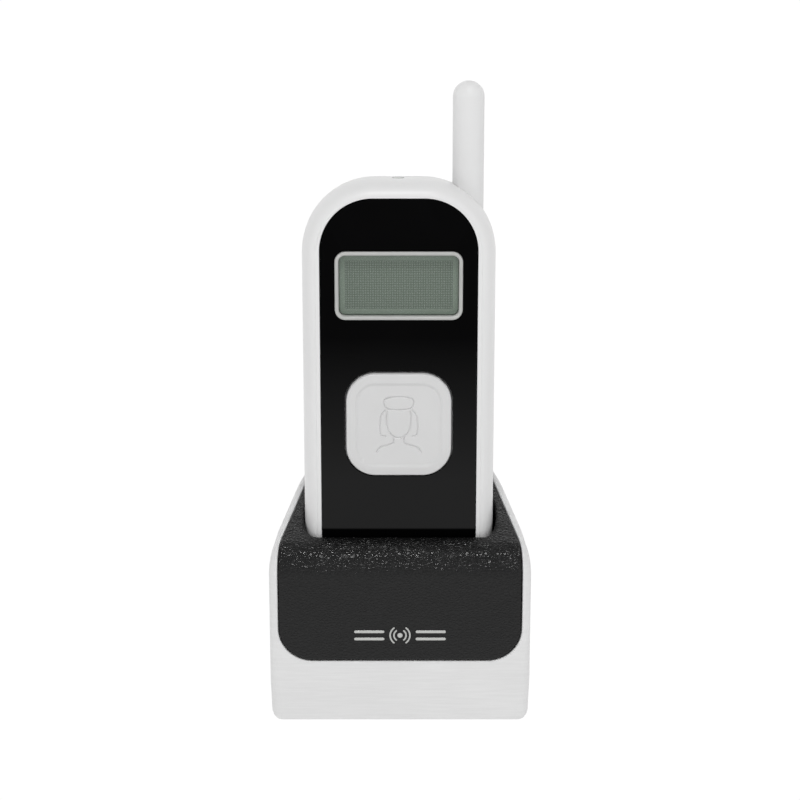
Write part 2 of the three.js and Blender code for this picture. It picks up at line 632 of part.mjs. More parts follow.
// A contact seated in the handset's underside, with a flange and a stem up to the circuit board.
function chargePad(side) {
  const { x, y, face, padFace, flange, flangeBottom, flangeTop, stem, stemTop } = CONTACT;
  const profile = [
    [0, padFace],
    [face, padFace],
    [face, flangeBottom],
    [flange, flangeBottom],
    [flange, flangeTop],
    [stem, flangeTop],
    [stem, stemTop],
    [0, stemTop],
  ];
  return turned(profile, [side * x, y], 20);
}

const statusLight = () => bar("z", [LIGHT.x, LIGHT.y], LIGHT.radius, LIGHT.bottom, LIGHT.top, 16);

// ---- Assembly ----

function mesh(name, body, look) {
  const part = new THREE.Mesh(geometryOf(body), look.clone());
  part.name = name;
  return part;
}

function cradle() {
  const group = new THREE.Group();
  group.add(mesh("cradle_shell", cradleShell(), WHITE));
  group.add(mesh("cradle_insert", cradleInsert(), BLACK_GRAIN));
  group.add(mesh("cradle_badge", badgeForm(0), SILVER));
  group.add(mesh("base_plate", basePlate(), DARK_PLASTIC));
  FEET.forEach((place, i) => {
    group.add(mesh(`foot_${i + 1}`, bar("z", place, FOOT.radius, 0, FOOT.height, 20), RUBBER));
  });
  BASE_SCREWS.forEach((place, i) => {
    const headFace = BASE.recess - GAP - BASE_SCREW.tall;
    group.add(mesh(`base_screw_${i + 1}`, screw("z", place, headFace, 1, BASE_SCREW), STEEL));
  });
  const { halfWidth, front, back, bottom, top } = CRADLE_PCB;
  group.add(mesh("cradle_pcb", box([-halfWidth, halfWidth], [front, back], [bottom, top]), BOARD));
  group.add(mesh("contact_block", contactBlock(), DARK_PLASTIC));
  for (const [side, place] of Object.entries(CONTACT_PLACES)) {
    group.add(mesh(`contact_pin_${side}`, contactPin(place), BRASS));
    const { meanRadius, wire, turns } = SPRING;
    const spring = coil(place, meanRadius, wire, BLOCK.boreBottom + SEAM, COLLAR_BOTTOM - SEAM, turns);
    group.add(mesh(`contact_spring_${side}`, spring, STEEL));
  }
  group.add(mesh("power_jack", powerJack(), DARK_PLASTIC));
  const jackPin = bar("y", [0, JACK.z], JACK.pin, JACK.from + JACK.pinIn, CRADLE.back - JACK.pinShort, 14);
  group.add(mesh("power_jack_pin", jackPin, STEEL));
  return group;
}

function handset() {
  const group = new THREE.Group();
  group.position.set(...SEAT);
  group.add(mesh("front_shell", frontShell(), WHITE));
  group.add(mesh("rear_shell", rearShell(), WHITE));
  group.add(mesh("front_panel", frontPanel(), BLACK_GLOSS));
  group.add(mesh("display_bezel", displayBezel(), SILVER));
  group.add(mesh("display_window", displayWindow(), CLEAR));
  group.add(mesh("lcd_module", lcdModule(), LCD_GREY));
  group.add(mesh("lcd_backlight", lcdBacklight(), PALE_PLASTIC));
  group.add(mesh("main_pcb", mainPcb(), BOARD));
  group.add(mesh("rf_shield", rfShield(), STEEL));
  group.add(mesh("call_button", callButton(), BUTTON_GREY));
  group.add(mesh("switch_body", switchBody(), DARK_PLASTIC));
  group.add(mesh("switch_stem", switchStem(), PALE_PLASTIC));
  group.add(mesh("battery_pack", batteryPack(), FOIL));
  group.add(mesh("battery_cover", batteryCover(), WHITE));
  const coverScrew = screw("y", [0, COVER.screwZ], DEPTH, -1, COVER_SCREW);
  group.add(mesh("battery_cover_screw", coverScrew, STEEL));
  group.add(mesh("sounder", sounder(), DARK_PLASTIC));
  group.add(mesh("vibration_motor", vibrationMotor(), STEEL));
  group.add(mesh("antenna_sleeve", antennaSleeve(), WHITE));
  group.add(mesh("antenna_coil", antennaCoil(), STEEL));
  group.add(mesh("antenna_ferrule", antennaFerrule(), BRASS));
  group.add(mesh("antenna_clip", antennaClip(), BRASS));
  group.add(mesh("charge_pad_left", chargePad(-1), BRASS));
  group.add(mesh("charge_pad_right", chargePad(1), BRASS));
  group.add(mesh("status_light", statusLight(), PALE_PLASTIC));
  CASE_SCREWS.forEach((place, i) => {
    const headFace = POST.seat + CASE_SCREW.tall + GAP;
    group.add(mesh(`case_screw_${i + 1}`, screw("y", place, headFace, -1, CASE_SCREW), STEEL));
  });
  return group;
}

const pager = new THREE.Group();
pager.add(cradle(), handset());
export default pager;
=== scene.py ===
import json
import math

import bmesh
import bpy
import numpy as np
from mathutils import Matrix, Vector


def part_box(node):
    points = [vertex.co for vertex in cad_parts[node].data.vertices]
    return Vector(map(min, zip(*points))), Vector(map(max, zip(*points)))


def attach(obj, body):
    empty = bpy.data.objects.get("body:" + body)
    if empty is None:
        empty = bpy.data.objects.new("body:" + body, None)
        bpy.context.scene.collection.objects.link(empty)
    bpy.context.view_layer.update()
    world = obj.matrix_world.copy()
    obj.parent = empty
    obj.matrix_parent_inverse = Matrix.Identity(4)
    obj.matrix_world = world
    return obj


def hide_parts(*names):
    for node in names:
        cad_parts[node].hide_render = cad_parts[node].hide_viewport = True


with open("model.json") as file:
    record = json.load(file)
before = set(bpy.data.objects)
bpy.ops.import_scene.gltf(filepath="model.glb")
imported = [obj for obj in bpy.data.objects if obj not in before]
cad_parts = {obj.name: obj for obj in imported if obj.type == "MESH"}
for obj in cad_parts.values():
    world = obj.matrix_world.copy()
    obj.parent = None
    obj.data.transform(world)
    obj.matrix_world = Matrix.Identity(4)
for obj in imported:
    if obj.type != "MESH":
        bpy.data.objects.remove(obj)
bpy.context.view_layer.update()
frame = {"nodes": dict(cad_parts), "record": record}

MM = 0.001


# ---- Places taken from the CAD frame ----

def box_mm(node):
    low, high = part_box(node)
    return np.array(low) / MM, np.array(high) / MM


def middle_mm(node):
    low, high = box_mm(node)
    return (low + high) / 2


front_low = box_mm("front_shell")[0]
rear_low, rear_high = box_mm("rear_shell")
panel_low, panel_high = box_mm("front_panel")
bezel_low, bezel_high = box_mm("display_bezel")
button_low, button_high = box_mm("call_button")
cover_low, cover_high = box_mm("battery_cover")
sleeve_low, sleeve_high = box_mm("antenna_sleeve")
light_low, light_high = box_mm("status_light")
shell_low, shell_high = box_mm("cradle_shell")
insert_low, insert_high = box_mm("cradle_insert")
badge_low, badge_high = box_mm("cradle_badge")
jack_low, jack_high = box_mm("power_jack")
jack_pin_low, jack_pin_high = box_mm("power_jack_pin")

SEAT_X = (rear_low[0] + rear_high[0]) / 2
SEAT_Y = front_low[1]
SEAT_Z = rear_low[2]
HALF_WIDTH = (rear_high[0] - rear_low[0]) / 2
HEIGHT = rear_high[2] - rear_low[2]
DEPTH = rear_high[1] - SEAT_Y

# ---- Driving sizes ----

SHARP_ANGLE = 32.0
CORNER_STEPS = 20
RIM_DEPTH = 9.0
RIM_INSET = 4.0
RIM_STEPS = 16
TOP_ROUND = 20.8
BOTTOM_ROUND = 8.0
WALL = 1.8
INNER_FRONT = 3.3
INNER_BACK = 18.9
PARTING = 8.0
PARTING_GAP = 0.1
EDGE = 0.14
LIP_STEP = 0.22
SCREW_HEAD = 1.5
SCREW_CUP = 2.5
SCREW_POST = 3.5
SCREW_FLOOR = 0.8
SOUND_Z = 103.0
SOUND_RING = 3.2
SOUND_HOLE = 0.8
COVER_GAP = 0.15
COVER_RECESS = 1.8
COVER_EDGE = 0.35
GRIP_COUNT = 5
GRIP_PITCH = 1.7
GRIP_FIRST = 6
GRIP_HALF_LENGTH = 6
GRIP_HALF_WIDTH = 0.5

PANEL_HALF = (panel_high[0] - panel_low[0]) / 2
PANEL_BOTTOM = panel_low[2] - SEAT_Z
PANEL_TOP = panel_high[2] - SEAT_Z
PANEL_TOP_ROUND = 14.9
PANEL_BOTTOM_ROUND = 3.2
PANEL_GAP = 0.1
PANEL_RECESS = 1.5
PANEL_BACK = 1.4
PANEL_FACE = 0.08
PANEL_EDGE = 0.3
# Heights in the frame that the panel's painted reflection and painted shadow follow, and the reflection's
# strength at each end. Below the first height the panel is matt, a painted shadow; between the other two
# the painted reflection fades upwards.
PAINTED_SHADOW_TOP = 55.2
PAINTED_SHADOW_BLUR = 0.6
PAINTED_REFLECTION_FULL = 70.0
PAINTED_REFLECTION_FADED = 112.0
PAINTED_REFLECTION_MOST = 0.2
PAINTED_REFLECTION_LEAST = 0.02

DISPLAY_Z = (bezel_low[2] + bezel_high[2]) / 2 - SEAT_Z
DISPLAY_HALF_WIDTH = (bezel_high[0] - bezel_low[0]) / 2
DISPLAY_HALF_HEIGHT = (bezel_high[2] - bezel_low[2]) / 2
DISPLAY_ROUND = 3.0
DISPLAY_LEDGE = 0.9
BEZEL_WIDTH = 1.1
BEZEL_SHOULDER = 0.1
BEZEL_FACE = bezel_low[1] - SEAT_Y
WINDOW_FRONT = 0.6
WINDOW_BACK = 1.3
LCD_FRONT = 1.9
LCD_FRAME = 3.7
LCD_FRAME_OUT = 0.3
LCD_BACK = 6.6
LCD_TONE = (0.188, 0.238, 0.193)
DOT_PITCH = 0.69
DOT_COLUMNS = 44
DOT_ROWS = 20
# A dot's half width and the blur of its edge, in parts of the pitch.
DOT_HALF = 0.4
DOT_BLUR = 0.12

BUTTON_FLANGE = 1.5
BUTTON_Z = (button_low[2] + button_high[2]) / 2 - SEAT_Z
BUTTON_HALF = (button_high[0] - button_low[0]) / 2 - BUTTON_FLANGE
BUTTON_ROUND = 8.4
BUTTON_FACE = button_low[1] - SEAT_Y
BUTTON_BACK = 4.5
BUTTON_CLEARANCE = 0.45
BUTTON_WALL = 1.8
BUTTON_INSIDE = 1.2
STUD_RADIUS = 2.0
STUD_END = 3.85
FLANGE_FRONT = 3.5
# The cap's edge rounds over its lip, then rises over its bevel to the dish.
LIP = 0.45
LIP_RISE = 0.62
BEVEL = 2.5
BEVEL_RISE = 0.38
DISH_FROM = 2.45
DISH_TO = 3.5
DISH_DEPTH = 0.42
DISH_MIDDLE = 15.0
DISH_SAG = 0.16
GROOVE_DEPTH = 0.34
GROOVE_HALF = 0.19
# The grid over the cap, in parts of its half width.
FINE_STEP = 0.0088
FINE_REACH_X = 0.6
FINE_REACH_Z = 0.72
EDGE_FROM = 0.8

SLEEVE_RADIUS = (sleeve_high[0] - sleeve_low[0]) / 2
SLEEVE_PLACE = ((sleeve_low + sleeve_high) / 2)[:2]
SLEEVE_GAP = 0.06
LENS_RADIUS = (light_high[0] - light_low[0]) / 2
LENS_PLACE = ((light_low + light_high) / 2)[:2]
LENS_GAP = 0.08
LENS_DOME = 0.5
PAD_HOLE = 2.15
PAD_HOLE_TOP = 3
CUT_PAST = 5

CRADLE_TAPER = math.radians(12)
CRADLE_SLOPE = math.radians(17)
CRADLE_HALF = shell_high[0]
CRADLE_FRONT = shell_low[1]
CRADLE_REAR = shell_high[1]
CRADLE_BOTTOM = shell_low[2]
FRONT_TOP = 43.9
FRONT_ROUND = 9.7
PLAN_CORNER = 3.0
BACK_CORNER = 6.3
SIDE_DRAW = 0.15
# Changes of the edge's radius: how much, and where the change starts and ends along y, y and z.
FRONT_EDGE = (1.5, -20, -12)
BACK_EDGE = (2.0, 8, 22)
FOOT_EDGE = (1.2, 3, 14)
CRADLE_WALL = 2.3
FOOT_ROUND = 0.45
RIM_TOP = 5.0
MOUTH_INSET = 3.4
MOUTH_LIP = 0.3
SOCKET_HOLE = 4.2
SOCKET_HOLE_FROM = 15
SOCKET_HOLE_LIP = 0.4
INSERT_HALF = 35.0
INSERT_BOTTOM = 18.8
INSERT_CORNER = 9.8
INSERT_SKIN = 2.2
INSERT_SEAM = 0.15
INSERT_SUNK = 0.06
INSERT_EDGE = 0.5
INSERT_SIDE_EDGE = 0.8
SHELL_EDGE = 0.35
POCKET_FLOOR = 24.4
POCKET_CLEARANCE = 0.6
WELL_SUNK = 0.3
# The pocket's lip, how much rounder it is at the front, and where along y that changes.
POCKET_LIP = 0.8
POCKET_LIP_FRONT = 1.4
POCKET_LIP_CHANGE = (-15, -9)
PIN_HOLE = 1.15
NET_CELL = 0.45
LONGEST_MOVE = 0.3

INSERT_TONE = (0.0045, 0.0045, 0.0047)
INSERT_ROUGHNESS = 0.18
PEBBLE_SIZE = 0.85
PEBBLE_DEPTH = 0.1
PEBBLE_DRIFT = 0.9
PEBBLE_SQUEEZE = (0.75, 1, 1)
PEBBLE_SHOULDER = 0.28
# How far from a crease the painted crease shade reaches.
CREASE_SHADE_WIDTH = 0.12
DRIFT_SIZE = 2.5
FINE_GRAIN = 0.16

MARK_DEPTH = 0.7
MARK_DOT = 0.75
ARC_RADII = (1.75, 2.85)
ARC_SPREAD = 52
ARC_HALF = 0.27
BAR_START = 4.9
BAR_HALF = 0.45
BAR_Z = 1.1

SOCKET_Z = (jack_pin_low[2] + jack_pin_high[2]) / 2
SOCKET_BORE = 3.1
SOCKET_SNOUT = 3.9
SOCKET_CORE = 1.2
SOCKET_DEPTH = 4

# The studio, in metres and watts: each lamp's place, the point it faces, its size and its power.
LAMPS = {
    "top_box": ((0, -0.36, 0.8), (0, 0, 0.05), (0.18, 0.03), 2.0),
    "left_box": ((-0.75, -0.25, 0.35), (0, 0, 0.1), (0.5, 0.8), 0.15),
    "right_box": ((0.75, -0.25, 0.35), (0, 0, 0.1), (0.5, 0.8), 0.15),
    "front_box": ((0, -0.9, 0.75), (0, 0, 0.1), (0.9, 0.5), 0.9),
}
HORIZON_STRENGTH = 0.7
OVERHEAD_STRENGTH = 0.42
FLOOR_GLOW = 1.02
CAMERA_PLACE = (0, -0.5722, 0.2379)
CAMERA_TILT = math.radians(90 - 14.5)
CAMERA_LENS = 90.9


# ---- Materials ----

def new_material(name):
    material = bpy.data.materials.new(name)
    material.use_nodes = True
    tree = material.node_tree
    return material, tree, tree.nodes["Principled BSDF"]


def feed(tree, node, inputs):
    """Sets a node's inputs. An output of another node is linked, and anything else is a plain value."""
    for key, value in inputs.items():
        if isinstance(value, bpy.types.NodeSocket):
            tree.links.new(value, node.inputs[key])
        else:
            node.inputs[key].default_value = value
    return node


def object_coordinates(tree):
    return tree.nodes.new("ShaderNodeTexCoord").outputs["Object"]


def noise(tree, coordinates, size_mm, detail=4.0):
    node = tree.nodes.new("ShaderNodeTexNoise")
    inputs = {"Vector": coordinates, "Scale": 1 / (size_mm * MM), "Detail": detail, "Roughness": 0.55}
    return feed(tree, node, inputs).outputs["Fac"]


def remap(tree, value, low, high, to_low, to_high):
    node = tree.nodes.new("ShaderNodeMapRange")
    inputs = {"Value": value, "From Min": low, "From Max": high, "To Min": to_low, "To Max": to_high}
    return feed(tree, node, inputs).outputs["Result"]


def mix(tree, factor, first, second):
    """Blends two colours, each of them three numbers or the output of another node."""
    node = tree.nodes.new("ShaderNodeMix")
    node.data_type = "RGBA"
    inputs = {"Factor": factor}
    for key, colour in (("A", first), ("B", second)):
        inputs[key] = colour if isinstance(colour, bpy.types.NodeSocket) else (*colour, 1)
    return feed(tree, node, inputs).outputs["Result"]


def calculate(tree, operation, *values):
    node = tree.nodes.new("ShaderNodeMath")
    node.operation = operation
    return feed(tree, node, dict(enumerate(values))).outputs["Value"]


def bump(tree, height, depth_mm):
    node = tree.nodes.new("ShaderNodeBump")
    inputs = {"Height": height, "Distance": depth_mm * MM, "Strength": 1.0}
    return feed(tree, node, inputs).outputs["Normal"]


def shade(colour, factor):
    return tuple(min(1.0, channel * factor) for channel in colour)


def patchy(tree, coordinates, patch_mm, first, second):
    """Two tones that drift into each other in soft patches."""
    patches = noise(tree, coordinates, patch_mm)
    return mix(tree, remap(tree, patches, 0.3, 0.7, 0, 1), first, second)


def varied(
    name, colour, roughness, variation, patch_mm, grain_mm, grain_depth, rough_change, wear,
    metallic=0.0, specular=0.5, stretch=(1, 1, 1), streak=0.0,
):
    """A moulded or metal finish: faint patches of tone, a fine grain, and lighter rubbed edges."""
    material, tree, shader = new_material(name)
    coordinates = object_coordinates(tree)
    mapping = tree.nodes.new("ShaderNodeMapping")
    feed(tree, mapping, {"Vector": coordinates, "Scale": stretch})
    tone = patchy(tree, coordinates, patch_mm, shade(colour, 1 - variation), shade(colour, 1 + variation))
    edges = tree.nodes.new("ShaderNodeNewGeometry").outputs["Pointiness"]
    worn = mix(tree, remap(tree, edges, 0.52, 0.62, 0, 0.6), tone, shade(colour, wear))
    grain = noise(tree, mapping.outputs["Vector"], grain_mm, 3.0)
    if streak:
        worn = mix(tree, remap(tree, grain, 0.35, 0.65, 0, streak), worn, shade(colour, 0.7))
    inputs = {
        "Base Color": worn,
        "Roughness": remap(tree, grain, 0.3, 0.7, roughness - rough_change, roughness + rough_change),
        "Normal": bump(tree, grain, grain_depth),
        "Metallic": metallic,
        "Specular IOR Level": specular,
    }
    feed(tree, shader, inputs)
    return material


def insert_material():
    """A leather-like moulded grain: rounded pebbles parted by fine creases, with painted shade darkening
    the creases.
    """
    material, tree, shader = new_material("insert_grain_crease_shade")
    coordinates = object_coordinates(tree)
    shifted = tree.nodes.new("ShaderNodeVectorMath")
    shifted.operation = "MULTIPLY_ADD"
    drift = noise(tree, coordinates, DRIFT_SIZE, 2.0)
    feed(tree, shifted, {0: drift, 1: (PEBBLE_DRIFT * MM,) * 3, 2: coordinates})
    squeezed = tree.nodes.new("ShaderNodeMapping")
    feed(tree, squeezed, {"Vector": shifted.outputs["Vector"], "Scale": PEBBLE_SQUEEZE})
    cells = tree.nodes.new("ShaderNodeTexVoronoi")
    cells.feature = "DISTANCE_TO_EDGE"
    feed(tree, cells, {"Vector": squeezed.outputs["Vector"], "Scale": 1 / (PEBBLE_SIZE * MM)})
    from_crease = cells.outputs["Distance"]
    pebbles = remap(tree, from_crease, 0.0, PEBBLE_SHOULDER, 0, 1)
    fine = noise(tree, coordinates, FINE_GRAIN, 2.0)
    tone = patchy(tree, coordinates, 9.0, shade(INSERT_TONE, 0.9), shade(INSERT_TONE, 1.1))
    # Painted shade: the creases are darkened in the colour.
    crease_shade = remap(tree, from_crease, 0, CREASE_SHADE_WIDTH, 1, 0)
    inputs = {
        "Base Color": mix(tree, crease_shade, tone, shade(INSERT_TONE, 0.55)),
        "Roughness": remap(tree, pebbles, 0, 1, INSERT_ROUGHNESS + 0.14, INSERT_ROUGHNESS - 0.05),
        "Normal": bump(tree, calculate(tree, "MULTIPLY_ADD", fine, 0.25, pebbles), PEBBLE_DEPTH),
        "Specular IOR Level": 0.3,
    }
    feed(tree, shader, inputs)
    return material


def display_material():
    """A reflective display: grey-green, with a faint grid of unlit dots inside a plain border."""
    material, tree, shader = new_material("display_cells")
    coordinates = object_coordinates(tree)
    centred = tree.nodes.new("ShaderNodeMapping")
    centred.vector_type = "TEXTURE"
    centre = (SEAT_X * MM, 0, (SEAT_Z + DISPLAY_Z) * MM)
    pitch = (DOT_PITCH * MM, 1, DOT_PITCH * MM)
    feed(tree, centred, {"Vector": coordinates, "Location": centre, "Scale": pitch})
    axes = feed(tree, tree.nodes.new("ShaderNodeSeparateXYZ"), {"Vector": centred.outputs["Vector"]})
    insides = []
    lines = []
    for axis, count in (("X", DOT_COLUMNS), ("Z", DOT_ROWS)):
        distance = calculate(tree, "ABSOLUTE", axes.outputs[axis])
        insides.append(calculate(tree, "LESS_THAN", distance, count / 2))
        place = calculate(tree, "SUBTRACT", calculate(tree, "FRACT", distance), 0.5)
        from_middle = calculate(tree, "ABSOLUTE", place)
        lines.append(remap(tree, from_middle, DOT_HALF - DOT_BLUR, DOT_HALF, 0, 1))
    inside = calculate(tree, "MULTIPLY", *insides)
    grid = calculate(tree, "MULTIPLY", inside, calculate(tree, "MAXIMUM", *lines))
    tone = patchy(tree, coordinates, 11.0, shade(LCD_TONE, 0.96), shade(LCD_TONE, 1.05))
    cells = mix(tree, inside, tone, shade(LCD_TONE, 0.9))
    inputs = {
        "Base Color": mix(tree, grid, cells, shade(LCD_TONE, 0.5)),
        "Roughness": remap(tree, grid, 0, 1, 0.38, 0.5),
    }
    feed(tree, shader, inputs)
    return material


def window_material():
    material, tree, shader = new_material("clear_window")
    haze = noise(tree, object_coordinates(tree), 6.0)
    inputs = {
        "Roughness": remap(tree, haze, 0.3, 0.7, 0.02, 0.06),
        "Base Color": (0.2, 0.24, 0.2, 1),
        "Alpha": 0.08,
        "Specular IOR Level": 0.5,
    }
    feed(tree, shader, inputs)
    return material


def panel_material():
    """High gloss black, with painted light: its reflection is painted strong low down and fading upwards,
    and a matt strip at its foot is a painted shadow.
    """
    material = varied("panel_gloss_painted_shade", (0.001, 0.001, 0.0011), 0.04, 0.2, 18.0, 5.0, 0.0015, 0.015, 3.0)
    tree = material.node_tree
    split = feed(tree, tree.nodes.new("ShaderNodeSeparateXYZ"), {"Vector": object_coordinates(tree)})
    height = split.outputs["Z"]
    # Painted reflection: the gloss is strong low down and faint higher up, so the reflected floor looks
    # brighter near the foot.
    painted_reflection_fade = remap(tree, height, PAINTED_REFLECTION_FULL * MM, PAINTED_REFLECTION_FADED * MM, PAINTED_REFLECTION_MOST, PAINTED_REFLECTION_LEAST)
    # Painted shadow: the reflection is turned off below this height, standing in for the shade of the
    # insert's rim.
    clear_of_painted_shadow = remap(tree, height, PAINTED_SHADOW_TOP * MM, (PAINTED_SHADOW_TOP + PAINTED_SHADOW_BLUR) * MM, 0, 1)
    painted_reflection_gloss = calculate(tree, "MULTIPLY", painted_reflection_fade, clear_of_painted_shadow)
    feed(tree, tree.nodes["Principled BSDF"], {"Specular IOR Level": painted_reflection_gloss})
    return material


# Colour, roughness, change of tone, size of its patches, size and depth of the grain, change of
# roughness, how much lighter a rubbed edge is, and how metallic. Sizes are millimetres.
FINISHES = {
    "button_grey": ((0.65, 0.65, 0.65), 0.36, 0.02, 12.0, 0.22, 0.006, 0.05, 1.1),
    "silver_trim": ((0.46, 0.465, 0.45), 0.34, 0.03, 10.0, 0.3, 0.004, 0.05, 1.2),
    "foot_rubber": ((0.014, 0.014, 0.014), 0.8, 0.15, 5.0, 0.4, 0.03, 0.06, 1.6),
    "circuit_board": ((0.012, 0.1, 0.035), 0.45, 0.12, 3.0, 0.6, 0.03, 0.08, 1.4),
    "dark_plastic": ((0.02, 0.02, 0.021), 0.48, 0.1, 8.0, 0.4, 0.015, 0.07, 1.5),
    "pale_plastic": ((0.78, 0.76, 0.69), 0.42, 0.03, 6.0, 0.3, 0.006, 0.05, 1.1),
    "battery_wrap": ((0.09, 0.16, 0.28), 0.35, 0.08, 10.0, 1.2, 0.02, 0.06, 1.3),
    "light_lens": ((0.5, 0.52, 0.5), 0.22, 0.04, 3.0, 0.3, 0.004, 0.05, 1.1),
    "steel": ((0.45, 0.46, 0.47), 0.32, 0.06, 4.0, 0.25, 0.006, 0.08, 1.3, 1.0),
    "brass": ((0.68, 0.48, 0.18), 0.28, 0.06, 4.0, 0.25, 0.006, 0.08, 1.25, 1.0),
}
WHITE_GRAIN = (0.015, 22.0, 0.28, 0.006, 0.05, 1.08)
BRUSHED_GRAIN = (0.02, 20.0, 0.7, 0.02, 0.06, 1.08)
MATERIALS = {
    "white_shell": varied("handset_white", (0.76,) * 3, 0.36, *WHITE_GRAIN, specular=0.3),
    # The antenna's white is the handset's white painted a little darker, a painted shade that offsets the
    # extra light it gets near the top lamp.
    "antenna_white": varied("antenna_white", (0.745,) * 3, 0.42, *WHITE_GRAIN, specular=0.3),
    "cradle_white": varied(
        "cradle_white", (0.76,) * 3, 0.46, *BRUSHED_GRAIN,
        specular=0.3, stretch=(0.07, 0.07, 1.4), streak=0.13,
    ),
    "insert_black": insert_material(),
    "panel_black": panel_material(),
    "clear_window": window_material(),
    "lcd_grey": display_material(),
}
for slot_name, finish in FINISHES.items():
    MATERIALS[slot_name] = varied(slot_name, *finish)


# ---- Making meshes ----

class Skin:
    """A mesh made of rings of vertices, joined by bands and closed by flat fills."""

    def __init__(self):
        self.mesh = bmesh.new()

    def ring(self, points):
        return [self.mesh.verts.new(Vector(point) * MM) for point in points]

    def bands(self, *rings):
        for first, second in zip(rings, rings[1:]):
            for i, corner in enumerate(first):
                self.mesh.faces.new((first[i - 1], corner, second[i], second[i - 1]))

    def fan(self, ring, point):
        tip = self.mesh.verts.new(Vector(point) * MM)
        for i, corner in enumerate(ring):
            self.mesh.faces.new((ring[i - 1], corner, tip))

    def fill(self, *rings):
        edges = []
        for ring in rings:
            for i, corner in enumerate(ring):
                pair = (ring[i - 1], corner)
                edges.append(self.mesh.edges.get(pair) or self.mesh.edges.new(pair))
        bmesh.ops.triangle_fill(self.mesh, use_beauty=True, edges=edges, normal=(0, 1, 0))

    def closed(self, *rings):
        """Bands through the rings, with the first and the last of them filled."""
        self.bands(*rings)
        self.fill(rings[0])
        self.fill(rings[-1])


def shade_smooth(data, sharp):
    data.shade_smooth()
    data.set_sharp_from_angle(angle=math.radians(sharp))


def weight_normals(made):
    weighted = made.modifiers.new("Weighted normals", "WEIGHTED_NORMAL")
    weighted.keep_sharp = True


def link(name, data):
    made = bpy.data.objects.new(name, data)
    bpy.context.scene.collection.objects.link(made)
    return made


def add_piece(name, mesh, body, slot, nodes, sharp=SHARP_ANGLE, material=None):
    """Puts a mesh into the scene as a piece of the object that stands for CAD nodes."""
    if isinstance(mesh, bmesh.types.BMesh):
        bmesh.ops.recalc_face_normals(mesh, faces=mesh.faces)
        data = bpy.data.meshes.new(name)
        mesh.to_mesh(data)
        mesh.free()
        shade_smooth(data, sharp)
    else:
        data = mesh
    made = link(name, data)
    data.materials.append(MATERIALS[material or slot])
    if sharp:
        weight_normals(made)
    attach(made, body)
    if nodes:
        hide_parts(*nodes)
    return made


def applied(made):
    """Turns what a piece's modifiers make into its mesh."""
    graph = bpy.context.evaluated_depsgraph_get()
    graph.update()
    data = bpy.data.meshes.new_from_object(made.evaluated_get(graph))
    made.modifiers.clear()
    made.data = data


def outline(half, low, high, low_round, high_round=None, steps=CORNER_STEPS):
    """Points (x, z) round a rectangle with rounded corners, the same number for every size."""
    high_round = low_round if high_round is None else high_round
    corners = (
        (half - low_round, low + low_round, low_round, -90),
        (half - high_round, high - high_round, high_round, 0),
        (high_round - half, high - high_round, high_round, 90),
        (low_round - half, low + low_round, low_round, 180),
    )
    points = []
    for x, z, radius, start in corners:
        for k in range(steps + 1):
            angle = math.radians(start + 90 * k / steps)
            points.append((x + radius * math.cos(angle), z + radius * math.sin(angle)))
    return points


def handset_outline(inset):
    return outline(HALF_WIDTH - inset, inset, HEIGHT - inset, BOTTOM_ROUND - inset, TOP_ROUND - inset)


def panel_outline(margin):
    low, high = PANEL_BOTTOM - margin, PANEL_TOP + margin
    return outline(PANEL_HALF + margin, low, high, PANEL_BOTTOM_ROUND + margin, PANEL_TOP_ROUND + margin)


def display_outline(margin):
    half_height = DISPLAY_HALF_HEIGHT + margin
    radius = max(DISPLAY_ROUND + margin, 0.5)
    return outline(DISPLAY_HALF_WIDTH + margin, DISPLAY_Z - half_height, DISPLAY_Z + half_height, radius)


def button_outline(margin):
    half = BUTTON_HALF + margin
    return outline(half, BUTTON_Z - half, BUTTON_Z + half, BUTTON_ROUND + margin)


def cover_outline(margin):
    half = (cover_high[0] - cover_low[0]) / 2 + margin
    low, high = cover_low[2] - SEAT_Z - margin, cover_high[2] - SEAT_Z + margin
    return outline(half, low, high, 4 + margin)


def disc(x, z, radius, steps=32):
    turns = [2 * math.pi * k / steps for k in range(steps)]
    return [(x + radius * math.cos(turn), z + radius * math.sin(turn)) for turn in turns]


def at_depth(skin, points, depth):
    """A ring in the handset's own frame: depth is measured back from its front plane."""
    return skin.ring([(SEAT_X + x, SEAT_Y + depth, SEAT_Z + z) for x, z in points])


def stepped(skin, shape, *steps):
    """Rings of an outline, one for each [margin, depth] pair."""
    return [at_depth(skin, shape(margin), depth) for margin, depth in steps]


def bore(skin, x, z, profile, steps=32):
    """The rings of a round hole or post, joined, from [radius, depth] pairs."""
    rings = [at_depth(skin, disc(x, z, radius, steps), depth) for radius, depth in profile]
    skin.bands(*rings)
    return rings


def outer_inset(depth):
    """How far the handset's outline has drawn in at a depth."""
    reach = max(RIM_DEPTH - depth, depth - (DEPTH - RIM_DEPTH), 0) / RIM_DEPTH
    return RIM_INSET * (1 - math.sqrt(max(0, 1 - reach**2)))


def inner_inset(depth):
    reach = max(RIM_DEPTH - depth, depth - (DEPTH - RIM_DEPTH), 0) / (RIM_DEPTH - WALL)
    return WALL + (RIM_INSET - WALL) * (1 - math.sqrt(max(0, 1 - min(1, reach) ** 2)))


